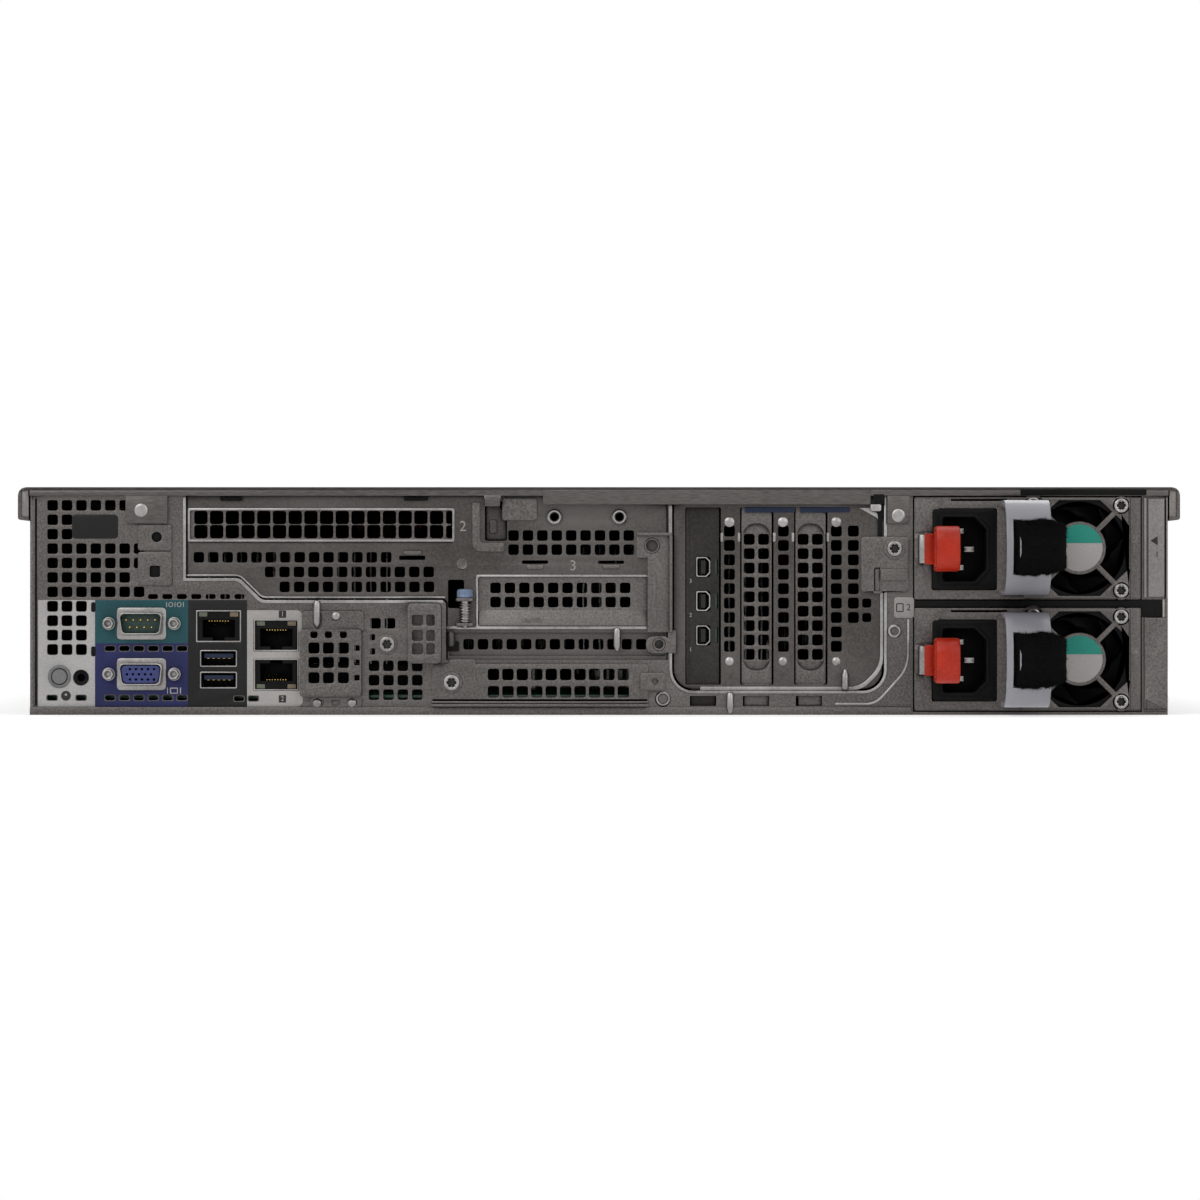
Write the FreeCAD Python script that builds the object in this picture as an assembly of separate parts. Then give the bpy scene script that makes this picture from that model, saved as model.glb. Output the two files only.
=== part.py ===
import FreeCAD, Part
import os
from math import acos, cos, floor, pi, radians, sin, tan

# Rear panel, across the width from its left edge. The chassis is as wide as these add up to.
io_zone = 59.5
riser_1_left_zone = 105.5
riser_1_right_zone = 78.3
riser_gap = 1.6
riser_2_width = 80.8
screw_strip = 11.1
psu_width = 86.4
bay_clearance = 0.4
right_strip = 10.0

# Sheet metal and heights. The chassis is as high as two stacked power supplies need.
sheet = 1.2
cover_sheet = 1.2
psu_height = 39.2
bay_shelf = 2.4
top_room = 2.0

# Lengths
bay_reach = 22.0
psu_length = 195.0
fit_gap = 0.3

# Handle and strap of a power supply
handle_reach = 34.2
handle_width = 16.8
handle_height = 36.0
handle_thickness = 2.2
strap_thickness = 1.8
strap_width = 20.4
strap_reach = 20.0

# Rack ears and slide studs
ear_reach = 24.0
ear_thickness = 2.5
ear_slot_radius = 3.4
ear_slot_length = 10.0
ear_hole_spacing = 76.2
ear_hole_inset = 8.45
stud_radius = 3.0
stud_head_radius = 5.0
stud_length = 3.6
stud_head_length = 1.2
studs_per_side = 3

# Perforation
hole_side = 4.0
hole_pitch = 5.5
wide_hole_side = 5.1
wide_hole_pitch = 6.0
vent_slot_length = 3.8
vent_slot_height = 1.9
hole_margin = 1.2

# Cover
cover_wing = 4.4
cover_wing_height = 12.5
cover_wing_radius = 3.0
cover_lip_height = 3.3
deep_lip_height = 6.6
cover_lip_reach = 2.4
hanging_tab_width = 16.0
hanging_tab_height = 13.8
latch_length = 60.0
latch_width = 24.0
latch_height = 5.0

# Drive bays
drive_columns = 4
drive_rows = 2
drive_height = 26.1
drive_length = 147.0
carrier_face_height = 29.0
carrier_rail = 2.0
carrier_face_depth = 14.0
carrier_handle_depth = 6.0
carrier_handle_height = 18.0
cage_wall = 1.2
backplane_thickness = 1.6

# Cooling fans
fan_count = 4
fan_size = 80.0
fan_depth = 38.0
fan_bore_margin = 3.0
fan_tip_gap = 1.5
fan_hub_radius = 17.0
fan_blades = 7
fan_spacing = 16.0
fan_pin_radius = 2.0

# Fan of a power supply
psu_fan_radius = 17.2
psu_fan_bore_radius = 18.2
psu_hub_radius = 10.3
psu_fan_depth = 18.0
psu_fan_blades = 5
spoke_width = 2.2

# Main board
board_thickness = 1.6
board_height = 6.0
board_length = 380.0
cooler_size = 78.0
cooler_height = 60.0
cooler_fins = 12
cooler_fin_thickness = 1.0
memory_length = 133.0
memory_height = 30.0
memory_thickness = 4.0
memory_pitch = 9.0
memory_per_bank = 4

# Riser openings and panels, from the zones' edges and from the chassis base
riser_top_drop = 1.6
riser_1_bottom = 21.0
riser_1_foot = 6.3
riser_1_waist = 43.8
riser_1_shoulder = 52.2
riser_1_step = 29.0
step_run = 8.5
step_radius = 3.0
corner_radius = 2.0
small_corner_count = 3
big_corner_count = 6
big_corner = 6.0
riser_2_bottom = 9.2
riser_2_radius = 8.0
panel_lap = 0.6
window_rim = 1.0

# Windows and vent rows of the first riser's panel
slot_2_drop = 6.5
slot_2_height = 13.4
slot_2_end = 2.9
slot_3_inset = 5.9
slot_3_end = 6.8
slot_3_bottom = 33.8
slot_3_height = 18.8
hook_slot_inset = 8.5
hook_slot_width = 8.4
knob_slot_width = 5.0
knob_slot_rise = 6.9
joggle_bottom = 21.5
joggle_top = 32.3
joggle_start = 2.2
joggle_end = 10.3
riser_row_drop = 5.6
first_row_start = 4.8
second_row_start = 32.0
third_row_start = 37.6
row_end = 12.4
first_row_end = 16.6
right_rows_start = 19.4
right_rows_end = 15.0
right_rows_rise = 2.7
collar_first = 35.1
collar_spacing = 24.7
collar_drop = 3.6
collar_hole_radius = 1.5
filler_row_drop = 4.2
filler_row_start = 6.6
ledge_height = 5.8

# Plunger of the first riser
plunger_offset = 0.9
plunger_stand_off = 2.5
plunger_ear_bottom = 43.3
plunger_ear_drop = 9.5
plunger_ear_width = 7.0
plunger_ear_reach = 5.5
plunger_radius = 3.05
plunger_knob_height = 3.4
plunger_pin_radius = 1.5
plunger_pin_length = 11.6

# Low-profile slot cover under the first riser
slot_1_reach = 11.7
slot_1_end = 7.6
slot_1_bottom = 3.3
slot_1_top = 19.5
slot_1_rim = 1.5
slot_1_window_inset = 18.0
slot_1_row_start = 23.5
slot_1_row_z = 8.8
slot_1_screw_inset = 7.5
slot_1_screw_radius = 1.8
slot_1_foot_reach = 3.0

# Upright windows, strips and fillers of the second riser
upright_first = 5.3
upright_gap = 0.5
upright_rim = 0.5
bracket_width = 13.0
strip_width = 6.9
filler_width = 12.2
card_foot = 2.3
upright_drop = 6.5
upright_row_inset = 9.0
upright_rows_margin = 15.2
side_column_inset = 4.2
side_column_margin = 3.0
side_column_pitch = 6.0
side_column_rows = (slice(0, 9), slice(0, 7), slice(5, 7))
pan_inset = 1.0
pan_foot = 5.4
pan_head = 6.1
pan_radius = 3.8
pan_row_inset = 6.0
pan_depth = 1.2
pan_wall = 0.6
tongue_width = 9.4
tongue_web = 2.0

# Video card
card_ports = 3
port_first = 18.8
port_pitch = 13.05
port_width = 5.4
port_height = 7.7
port_reach = 0.6
port_depth = 12.0
port_wall = 0.5
port_tongue = 1.6
card_length = 167.0
card_board_inset = 1.0
card_board_rise = 4.0
card_board_height = 62.0
card_sink_start = 40.0
card_sink_length = 90.0
card_sink_base = 3.0
card_fin_height = 6.0
card_fin_pitch = 5.5

# Rear wall's vents, from the left edge and from the base
grid_first = 8.6
grid_top_drop = 5.7
left_grid_bottom = 24.0
left_grid_counts = [6, 2, 2, 6, 6, 6, 7, 3, 3, 3, 3]
foot_grid_first = 131.2
foot_grid_last = 148.0
foot_grid_bottom = 7.7
foot_grid_top = 19.0
upper_slots_first = 46.9
upper_slots_last = 80.2
upper_slots_z = 45.1
lower_slots_first = 30.5
lower_slots_last = 58.1
middle_slots_z = 25.3
lower_slots_z = 6.5
right_gap_height = 7.0
gap_margin = 1.0
pad_left = 41.2
pad_width = 13.0
upper_pad_bottom = 62.6
upper_pad_height = 10.0
lower_pad_bottom = 49.2
lower_pad_height = 13.0
strip_pad_inset = 0.8
strip_pad_bottom = 51.0
strip_pad_height = 4.7

# Connectors: centres from the left edge and from the base
serial_place = (42.5, 34.8)
video_place = (42.5, 15.5)
manage_place = (71.9, 33.8)
usb_place = (71.9, 13.25)
gigabit_place = (93.9, 15.35)
usb_pitch = 8.25
gigabit_pitch = 15.0
jack_screw_spacing = 24.99
jack_post_radius = 2.2
jack_post_reach = 4.5
d_window_width = 18.4
d_window_height = 11.9
d_flange_width = 30.8
d_flange_height = 12.4
d_shell_width = 16.9
d_shell_height = 8.4
d_shell_reach = 5.0
d_radius = 1.5
d_taper = 1.0
d_wall = 0.5
d_pin_depth = 1.0
d_block_depth = 14.0
jack_width = 17.2
jack_height = 12.2
jack_mouth_width = 11.8
jack_mouth_height = 6.4
jack_mouth_offset = 0.6
jack_mouth_depth = 13.0
jack_step_width = 4.2
jack_step_height = 1.6
jack_block_depth = 21.0
usb_width = 14.1
usb_height = 6.4
usb_wall = 0.6
usb_depth = 12.0
usb_tongue = 1.6
id_button_place = (11.25, 14.6)
id_button_radius = 2.9
id_button_reach = 1.2
status_jack_place = (19.45, 14.2)
status_jack_radius = 2.85

# Clips and guards on the rear wall
retainer_lap = 1.1
retainer_width = 13.7
retainer_top_drop = 16.1
retainer_head_height = 9.6
retainer_leg = 9.5
retainer_foot = 31.5
retainer_hole_inset = 4.9
retainer_hole_radius = 2.1
retainer_reach = 3.0
shield_left = 103.0
shield_right = 126.6
shield_bottom = 6.9
shield_top = 32.6
shield_wall = 0.8
shield_reach = 4.0
shield_hole_inset = 5.5
shield_row_inset = 7.3
shield_tab_height = 7.0
shield_foot_inset = 3.8
latch_box_left = 20.8
latch_box_width = 12.9
latch_box_bottom = 19.6
latch_box_height = 23.0
latch_box_reach = 8.0
latch_box_columns = (0.295, 0.674)
latch_box_row = 5.6

# Tray and studs
hem_gap = 1.0
hem_thickness = 1.2
hem_height = 3.0
stud_first = 60.0
stud_spacing = 250.0
stud_z = 60.0

# Inside
board_margin = 3.0
board_inset = 6.0
post_radius = 3.0
post_sides = 6
post_inset = 12.0
row_gap = 4.0
row_setback = 80.0
cooler_base = 6.0
socket_width = 6.5
socket_overhang = 5.0
socket_height = 6.0
board_to_fans = 14.0
fans_to_cage = 87.5
fan_spokes = 4
frame_corner = 4.0
round_sides = 24
hole_flats = 12
frame_lap = 1.0
motor_mount = 6.0
rotor_inset = 3.0
rotor_clearance = 0.5
hub_cap = 2.0
running_gap = 0.05
root_pitch = 50.0
tip_pitch = 30.0
blade_thickness = 1.2
blade_fill = 0.8
blade_root = 3.0
blade_inset = 1.0

# Cage, carriers and front panel
cage_setback = 7.0
drive_gap = 8.0
panel_margin = 14.0
panel_edge = 4.0
panel_slot_pitch = 16.0
panel_slot_width = 12.0
button_zone = 26.0
button_inset = 18.0
button_reach = 1.0
power_button_radius = 5.0
backplane_rise = 4.0
plug_width = 40.0
plug_height = 6.0
face_slot_margin = 20.0
face_slot_pitch = 21.0
face_slot_width = 16.0
face_slot_depth = 4.0
face_slot_edge = 5.0
rail_setback = 10.0
rail_height = 20.0
lug_width = 8.0
lug_height = 5.0
lug_recess = 1.0
handle_pin_radius = 1.2
handle_end_gap = 1.0
handle_rim = 3.5
grip_length = 30.0
grip_depth = 3.0

# Power supply case, guard and inlet
face_proud = 0.8
psu_wall = 1.0
psu_fan_inset = 62.9
psu_pin_radius = 1.5
guard_thickness = 1.2
guard_reach = 21.3
guard_side_edge = 4.0
guard_edge = 0.3
guard_opening = 18.6
guard_sides = 8
guard_spokes = 4
edge_inset = 8.0
edge_length = 8.0
edge_rise = 8.0
inlet_inset = 6.9
inlet_rise = 3.8
inlet_width = 24.4
inlet_height = 30.7
inlet_proud = 0.8
inlet_depth = 20.0
socket_hole_width = 16.6
socket_hole_height = 24.4
socket_chamfer = 4.5
socket_corner = 1.0
socket_depth = 16.0
blade_width = 4.0
blade_gauge = 2.0
blade_offset_x = 2.0
blade_offset_z = 7.0
blade_recess = 2.5

# Power supply latch and handle
latch_rise = 13.8
latch_tongue = 10.8
latch_gauge = 1.0
latch_stand_off = 3.2
latch_slot_left = 1.1
latch_slot_width = 2.4
latch_pivot_inset = 1.9
latch_pivot_depth = 4.0
latch_pin_radius = 0.8
latch_lug = 2.0
loop_inset = 7.2
loop_width = 9.2
loop_height = 17.2
loop_reach = 17.0
loop_wall = 1.8
loop_root_radius = 1.5
loop_radius = 6.0
handle_inset = 32.8
handle_radius = 16.0
strap_slot_inset = 2.5
strap_slot_width = 2.4
strap_hollow = 7.0
strap_bend = 1.5
strap_fold = 4.5

# Cover details
deep_lip_start = 30.7
deep_lip_end = 5.3
left_tab_place = 36.6
right_tab_setback = 10.3
right_tab_width = 8.4
hook_tab_width = 5.8
hook_tab_height = 7.3
cover_hem_radius = 1.0
latch_setback = 6.0
lever_pin_radius = 1.5
latch_rim = 4.0
latch_window = 14.0
ear_leg = 40.0
ear_leg_margin = 6.0


chassis_width = (io_zone + riser_1_left_zone + riser_1_right_zone + riser_gap + riser_2_width
                 + screw_strip + psu_width + 2 * bay_clearance + right_strip)
chassis_height = sheet + 4 * bay_clearance + 2 * psu_height + bay_shelf + top_room + cover_sheet
rack_width = chassis_width + 2 * ear_reach
fan_bore_radius = fan_size / 2 - fan_bore_margin
fan_rotor_radius = fan_bore_radius - fan_tip_gap
fan_pitch = fan_size + fan_spacing
ear_hole_span = rack_width - 2 * ear_hole_inset
body_length = (board_inset + board_length + board_to_fans + fan_depth + fans_to_cage + drive_gap
               + drive_length + carrier_face_depth + fit_gap + carrier_handle_depth - bay_reach)
strap_front = handle_reach + fit_gap + strap_thickness
overall_length = strap_front + body_length + bay_reach

left = -chassis_width / 2
right = chassis_width / 2
rear = -overall_length / 2 + strap_front
ear_plane = rear + body_length
front = ear_plane + bay_reach
cover_under = chassis_height - cover_sheet
wall_top = cover_under - fit_gap

riser_1_left = left + io_zone
riser_1_middle = riser_1_left + riser_1_left_zone
riser_1_right = riser_1_middle + riser_1_right_zone
slot_1_left = riser_1_middle - slot_1_reach
slot_1_right = riser_1_right - slot_1_end
riser_2_left = riser_1_right + riser_gap
riser_2_right = riser_2_left + riser_2_width
psu_left = riser_2_right + screw_strip + bay_clearance
psu_right = psu_left + psu_width
psu_floor = [sheet + bay_clearance, sheet + 3 * bay_clearance + psu_height + bay_shelf]


def at(x, y, z):
    return FreeCAD.Vector(x, y, z)


def box(x0, x1, y0, y1, z0, z1):
    return Part.makeBox(x1 - x0, y1 - y0, z1 - z0, at(x0, y0, z0))


def rod(radius, start, end):
    line = end - start
    return Part.makeCylinder(radius, line.Length, start, line)


def steps(first, limit, pitch):
    """Evenly spaced places from first that stay within limit; pitch may be negative."""
    count = floor((limit - first) / pitch + 1e-6) + 1
    return [first + pitch * i for i in range(max(count, 0))]


def outline(corners, place):
    """Closed wire through corners (a, b) or (a, b, radius); a radius is drawn in short straight runs."""
    points = []
    count = len(corners)
    for i, corner in enumerate(corners):
        here = FreeCAD.Vector(corner[0], corner[1], 0)
        radius = corner[2] if len(corner) > 2 else 0
        if radius == 0:
            points.append(place(here.x, here.y))
            continue
        before = FreeCAD.Vector(corners[i - 1][0], corners[i - 1][1], 0) - here
        after = FreeCAD.Vector(corners[(i + 1) % count][0], corners[(i + 1) % count][1], 0) - here
        before.normalize()
        after.normalize()
        half = acos(max(-1, min(1, before.dot(after)))) / 2
        centre = here + (before + after).normalize() * (radius / sin(half))
        start = here + before * (radius / tan(half)) - centre
        end = here + after * (radius / tan(half)) - centre
        runs = big_corner_count if radius >= big_corner else small_corner_count
        sweep = pi - 2 * half
        for k in range(runs + 1):
            share = sweep * k / runs
            arm = start * (sin(sweep - share) / sin(sweep)) + end * (sin(share) / sin(sweep))
            points.append(place(centre.x + arm.x, centre.y + arm.y))
    return Part.makePolygon(points + points[:1])


def rectangle(x0, x1, z0, z1, y, radius=0):
    corners = [(x0, z0, radius), (x1, z0, radius), (x1, z1, radius), (x0, z1, radius)]
    return outline(corners, lambda a, b: at(a, y, b))


def peg(x, y, radius, z0, z1):
    """Upright pin, or the cutter for its hole."""
    return rod(radius, at(x, y, z0), at(x, y, z1))


def circle(x, z, radius, y):
    """Small round hole drawn with flats that stay clear of its radius."""
    return outline(polygon(x, z, radius / cos(pi / hole_flats), hole_flats), lambda a, b: at(a, y, b))


def level_slot(x, z, length, radius, y):
    """Slot with round ends, drawn with true arcs."""
    half = length / 2
    edges = []
    for side in (1, -1):
        end = x + side * half
        edges.append(Part.LineSegment(at(x - side * half, y, z - side * radius),
                                      at(end, y, z - side * radius)).toShape())
        edges.append(Part.Arc(at(end, y, z - side * radius), at(end + side * radius, y, z),
                              at(end, y, z + side * radius)).toShape())
    return Part.Wire(edges)


def grid(columns, rows, side, y):
    """Square perforations centred on every column and row."""
    half = side / 2
    return [rectangle(x - half, x + half, z - half, z + half, y) for x in columns for z in rows]


def plate(outer, holes, thickness):
    """Flat plate in the X-Z plane with its holes, pushed forwards from its rear face."""
    face = Part.makeFace([outer] + holes, "Part::FaceMakerBullseye")
    return face.extrude(at(0, thickness, 0))


def prism_y(corners, y0, y1):
    wire = outline(corners, lambda a, b: at(a, y0, b))
    return Part.Face(wire).extrude(at(0, y1 - y0, 0))


def prism_x(corners, x0, x1):
    """Profile given as (y, z), pushed along X."""
    wire = outline(corners, lambda a, b: at(x0, a, b))
    return Part.Face(wire).extrude(at(x1 - x0, 0, 0))


def prism_z(corners, z0, z1):
    """Profile given as (x, y), pushed along Z."""
    wire = outline(corners, lambda a, b: at(a, b, z0))
    return Part.Face(wire).extrude(at(0, 0, z1 - z0))


def polygon(x, z, radius, sides):
    """Corners of a regular polygon about an axis along Y."""
    turn = 2 * pi / sides
    return [(x + radius * cos(turn * (i + 0.5)), z + radius * sin(turn * (i + 0.5)))
            for i in range(sides)]


def join(first, *others):
    return first.fuse(list(others)).removeSplitter()


def riser_1_corners(grow):
    """Stepped outline of the first riser's panel, grown outwards by a margin."""
    top = cover_under - riser_top_drop + grow
    return [(riser_1_left - grow, top),
            (riser_1_right + grow, top),
            (riser_1_right + grow, riser_1_bottom - grow),
            (riser_1_middle - riser_1_foot - grow, riser_1_bottom - grow),
            (riser_1_middle - riser_1_foot - grow, riser_1_waist - grow, corner_radius),
            (riser_1_left + riser_1_step - grow, riser_1_waist - grow, step_radius),
            (riser_1_left + riser_1_step - step_run - grow, riser_1_shoulder - grow, step_radius),
            (riser_1_left - grow, riser_1_shoulder - grow)]


def riser_2_corners(grow):
    top = cover_under - riser_top_drop + grow
    return [(riser_2_left - grow, riser_2_bottom - grow, riser_2_radius),
            (riser_2_right + grow, riser_2_bottom - grow, riser_2_radius),
            (riser_2_right + grow, top),
            (riser_2_left - grow, top)]


def chassis_tray():
    """Base and side walls folded from one sheet, slide studs, and the supply bays' wall and shelf."""
    tray = prism_y([(left, 0), (right, 0), (right, wall_top), (right - sheet, wall_top),
                    (right - sheet, sheet), (left + sheet, sheet), (left + sheet, wall_top),
                    (left, wall_top)], rear, ear_plane)
    hem = box(left, psu_left - hem_gap, rear - hem_thickness, rear, 0, hem_height)
    bay_wall_x = psu_left - bay_clearance
    bay_wall = box(bay_wall_x - sheet, bay_wall_x, rear + sheet, rear + psu_length, sheet, wall_top)
    shelf_z = psu_floor[1] - bay_clearance - bay_shelf / 2
    shelf = box(bay_wall_x, right - sheet, rear + sheet, rear + psu_length, shelf_z - sheet / 2,
                shelf_z + sheet / 2)
    studs = []
    for side in (-1, 1):
        wall_x = side * chassis_width / 2
        for y in stud_places():
            neck_end = at(wall_x + side * stud_length, y, stud_z)
            studs.append(rod(stud_radius, at(wall_x, y, stud_z), neck_end))
            studs.append(rod(stud_head_radius, neck_end, neck_end + at(side * stud_head_length, 0, 0)))
    return Part.makeCompound([join(tray, hem, *studs), bay_wall, shelf])


def stud_places():
    return [rear + stud_first + i * stud_spacing for i in range(studs_per_side)]


def io_window_sizes():
    """Centre and size of each connector opening: x, z, width, height."""
    return [(left + serial_place[0], serial_place[1], d_window_width, d_window_height),
            (left + video_place[0], video_place[1], d_window_width, d_window_height),
            (left + manage_place[0], manage_place[1], jack_width, jack_height),
            (left + usb_place[0], usb_place[1], usb_width, usb_height),
            (left + usb_place[0], usb_place[1] + usb_pitch, usb_width, usb_height),
            (left + gigabit_place[0], gigabit_place[1], jack_width, jack_height),
            (left + gigabit_place[0], gigabit_place[1] + gigabit_pitch, jack_width, jack_height)]


def rear_wall_holes():
    """Every small opening of the rear wall, as wires on its outer face."""
    holes = []
    rows = steps(cover_under - grid_top_drop, left_grid_bottom, -hole_pitch)
    for z, count in zip(rows, left_grid_counts + [left_grid_counts[-1]] * len(rows)):
        holes += grid(steps(left + grid_first, left + grid_first + (count - 0.5) * hole_pitch,
                            hole_pitch), [z], hole_side, rear)
    columns = steps(left + foot_grid_first, left + foot_grid_last, hole_pitch)
    holes += grid(columns, steps(foot_grid_bottom, foot_grid_top, hole_pitch), hole_side, rear)
    for x0, x1, z in [(upper_slots_first, upper_slots_last, upper_slots_z),
                      (lower_slots_first, lower_slots_last, middle_slots_z),
                      (lower_slots_first, lower_slots_last, lower_slots_z)]:
        for x in steps(left + x0, left + x1, hole_pitch):
            holes.append(rectangle(x - vent_slot_length / 2, x + vent_slot_length / 2,
                                   z - vent_slot_height / 2, z + vent_slot_height / 2, rear))
    for x, z, width, height in io_window_sizes():
        holes.append(rectangle(x - width / 2 - fit_gap, x + width / 2 + fit_gap,
                               z - height / 2 - fit_gap, z + height / 2 + fit_gap, rear))
    for place in (serial_place, video_place):
        for side in (-1, 1):
            x = left + place[0] + side * jack_screw_spacing / 2
            holes.append(circle(x, place[1], jack_post_radius + fit_gap, rear))
    holes.append(circle(left + id_button_place[0], id_button_place[1],
                        id_button_radius + fit_gap, rear))
    holes.append(circle(left + status_jack_place[0], status_jack_place[1],
                        status_jack_radius, rear))
    holes.append(rectangle(left + shield_left + shield_wall, left + shield_right - shield_wall,
                           shield_bottom + shield_wall, shield_top - shield_wall, rear))
    holes.append(rectangle(slot_1_left + slot_1_window_inset, slot_1_right - slot_1_rim,
                           slot_1_bottom + slot_1_rim, slot_1_top - slot_1_rim, rear))
    for x in tongue_places():
        holes.append(rectangle(x - tongue_width / 2 - fit_gap, x + tongue_width / 2 + fit_gap,
                               hem_height + fit_gap, riser_2_bottom - tongue_web, rear))
    holes.append(outline(riser_1_corners(0), lambda a, b: at(a, rear, b)))
    holes.append(outline(riser_2_corners(0), lambda a, b: at(a, rear, b)))
    return holes


def rear_wall():
    """Perforated wall with stepped riser openings, and the strips that frame the supply bays."""
    x0, x1 = psu_left - bay_clearance, psu_right + bay_clearance
    wall = plate(rectangle(left + sheet, x0, sheet, wall_top, rear), rear_wall_holes(), sheet)
    pads = [box(left + pad_left, left + pad_left + pad_width, rear - sheet, rear,
                z0, z0 + height) for z0, height in ((upper_pad_bottom, upper_pad_height),
                                                    (lower_pad_bottom, lower_pad_height))]
    pads.append(box(riser_2_right + strip_pad_inset, psu_left - strip_pad_inset, rear - sheet, rear,
                    strip_pad_bottom, strip_pad_bottom + strip_pad_height))
    bay_tops = [floor_z + psu_height + bay_clearance for floor_z in psu_floor]
    middle_strip = box(x0, x1, rear, rear + sheet, bay_tops[0], psu_floor[1] - bay_clearance)
    top_strip = box(x0, x1, rear, rear + sheet, bay_tops[1], wall_top)
    gap = rectangle(x1 + gap_margin, right - sheet - gap_margin, psu_floor[1] - right_gap_height,
                    psu_floor[1] - gap_margin, rear)
    column = plate(rectangle(x1, right - sheet, sheet, wall_top, rear), [gap], sheet)
    return Part.makeCompound([wall.fuse(pads), middle_strip, top_strip, column])


def card_window():
    """First riser's upper slot window: left, right, bottom, top."""
    top = cover_under - slot_2_drop
    return (riser_1_left + fit_gap, riser_1_middle - slot_2_end, top - slot_2_height, top)


def low_window():
    """First riser's lower slot window: left, right, bottom, top."""
    return (riser_1_middle + slot_3_inset, riser_1_right - slot_3_end, slot_3_bottom,
            slot_3_bottom + slot_3_height)


def riser_1_panel():
    """Stepped riser panel: perforated plate with two slot windows and a joggled row of vents."""
    y = rear + sheet
    x0, x1, z0, z1 = card_window()
    u0, u1, w0, w1 = low_window()
    top_row = z0 - riser_row_drop
    holes = [rectangle(x0 + window_rim, x1 - window_rim, z0 + window_rim, z1 - window_rim, y),
             rectangle(u0, u1, w0, w1, y),
             rectangle(riser_1_middle + hook_slot_inset, riser_1_middle + hook_slot_inset + hook_slot_width,
                       z0 + window_rim, z1, y),
             rectangle(riser_1_middle - knob_slot_width, riser_1_middle, w0 + knob_slot_rise, w1, y),
             rectangle(riser_1_middle - riser_1_foot + window_rim, riser_1_right - window_rim,
                       joggle_bottom + window_rim, joggle_top - window_rim, y)]
    last = riser_1_middle - row_end
    for i, start in enumerate((first_row_start, second_row_start, third_row_start)):
        end = last - (first_row_end if i == 0 else 0)
        holes += grid(steps(riser_1_left + start, end, hole_pitch), [top_row - i * hole_pitch],
                      hole_side, y)
    right_columns = steps(riser_1_middle + right_rows_start, riser_1_right - right_rows_end, hole_pitch)
    holes += grid(right_columns, [z0 + right_rows_rise, z0 + right_rows_rise - hole_pitch], hole_side, y)
    for x in (riser_1_middle + collar_first, riser_1_middle + collar_first + collar_spacing):
        holes.append(circle(x, z1 - collar_drop, collar_hole_radius, y))
    grow = panel_lap
    panel = plate(outline(riser_1_corners(grow), lambda a, b: at(a, y, b)), holes, sheet)
    back = rectangle(riser_1_middle - riser_1_foot, riser_1_right, joggle_bottom, joggle_top, y + sheet)
    columns = steps(riser_1_middle + joggle_start, riser_1_right - joggle_end, hole_pitch)
    joggle = plate(back, grid(columns, [(joggle_bottom + joggle_top) / 2], hole_side, y + sheet), sheet)
    ears = [plunger_ear(z) for z in (plunger_ear_bottom, plunger_ear_bottom - plunger_ear_drop)]
    return panel.fuse([joggle] + ears)


def plunger_ear(z):
    """Bracket ear on the riser panel, bored for the plunger's pin."""
    x, y = plunger_axis()
    ear = box(x - plunger_ear_width / 2, x + plunger_ear_width / 2, rear - plunger_ear_reach,
              rear + sheet, z, z + sheet)
    return ear.cut(rod(plunger_pin_radius + 2 * running_gap, at(x, y, z - 1), at(x, y, z + 2 * sheet)))


def plunger_axis():
    return riser_1_middle + plunger_offset, rear - plunger_stand_off


def slot_2_filler():
    x0, x1, z0, z1 = card_window()
    y = rear + 2 * sheet
    middle = (z0 + z1) / 2
    columns = steps(x0 + window_rim + wide_hole_pitch / 2, x1 - window_rim - wide_hole_side / 2,
                    wide_hole_pitch)
    holes = grid(columns, [middle - wide_hole_pitch / 2, middle + wide_hole_pitch / 2],
                 wide_hole_side, y)
    return plate(rectangle(x0, x1, z0, z1, y), holes, sheet)


def slot_3_filler():
    """Two-row filler with a sloping ledge along its foot."""
    x0, x1, z0, z1 = low_window()
    y = rear + 2 * sheet
    top_row = z1 - filler_row_drop
    columns = steps(x0 + filler_row_start, x1 - hole_pitch, hole_pitch)
    filler = plate(rectangle(x0 - window_rim, x1 + window_rim, z0 + ledge_height, z1 + window_rim, y),
                   grid(columns, [top_row, top_row - hole_pitch], hole_side, y), sheet)
    ledge = prism_x([(y, z0 + ledge_height), (y + sheet, z0 + ledge_height),
                     (y + sheet, z0 + ledge_height - sheet / 2), (rear + sheet, z0 + fit_gap),
                     (rear, z0 + fit_gap)], x0 + fit_gap, x1 - fit_gap)
    return filler.fuse(ledge).removeSplitter()


def slot_1_filler():
    """Low-profile slot cover screwed over the wall, with a folded foot."""
    y = rear - sheet
    columns = steps(slot_1_left + slot_1_row_start, slot_1_right - hole_pitch, hole_pitch)
    holes = grid(columns, [slot_1_row_z, slot_1_row_z + wide_hole_pitch], hole_side, y)
    holes.append(circle(slot_1_left + slot_1_screw_inset, (slot_1_bottom + slot_1_top) / 2,
                        slot_1_screw_radius, y))
    cover = plate(rectangle(slot_1_left, slot_1_right, slot_1_bottom, slot_1_top, y), holes, sheet)
    foot = box(slot_1_left, slot_1_right, y - slot_1_foot_reach, rear, slot_1_bottom,
               slot_1_bottom + sheet)
    return cover.fuse(foot).removeSplitter()


def upright_columns():
    """Places of the second riser's upright strips: video card, vent strip, filler, strip, filler."""
    x = riser_2_left + upright_first
    places = []
    for width in (bracket_width, strip_width, filler_width, strip_width, filler_width):
        places.append((x, x + width))
        x += width + upright_gap
    return places


def tongue_places():
    return [(upright_columns()[i][0] + upright_columns()[i][1]) / 2 for i in (0, 2, 4)]


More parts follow.
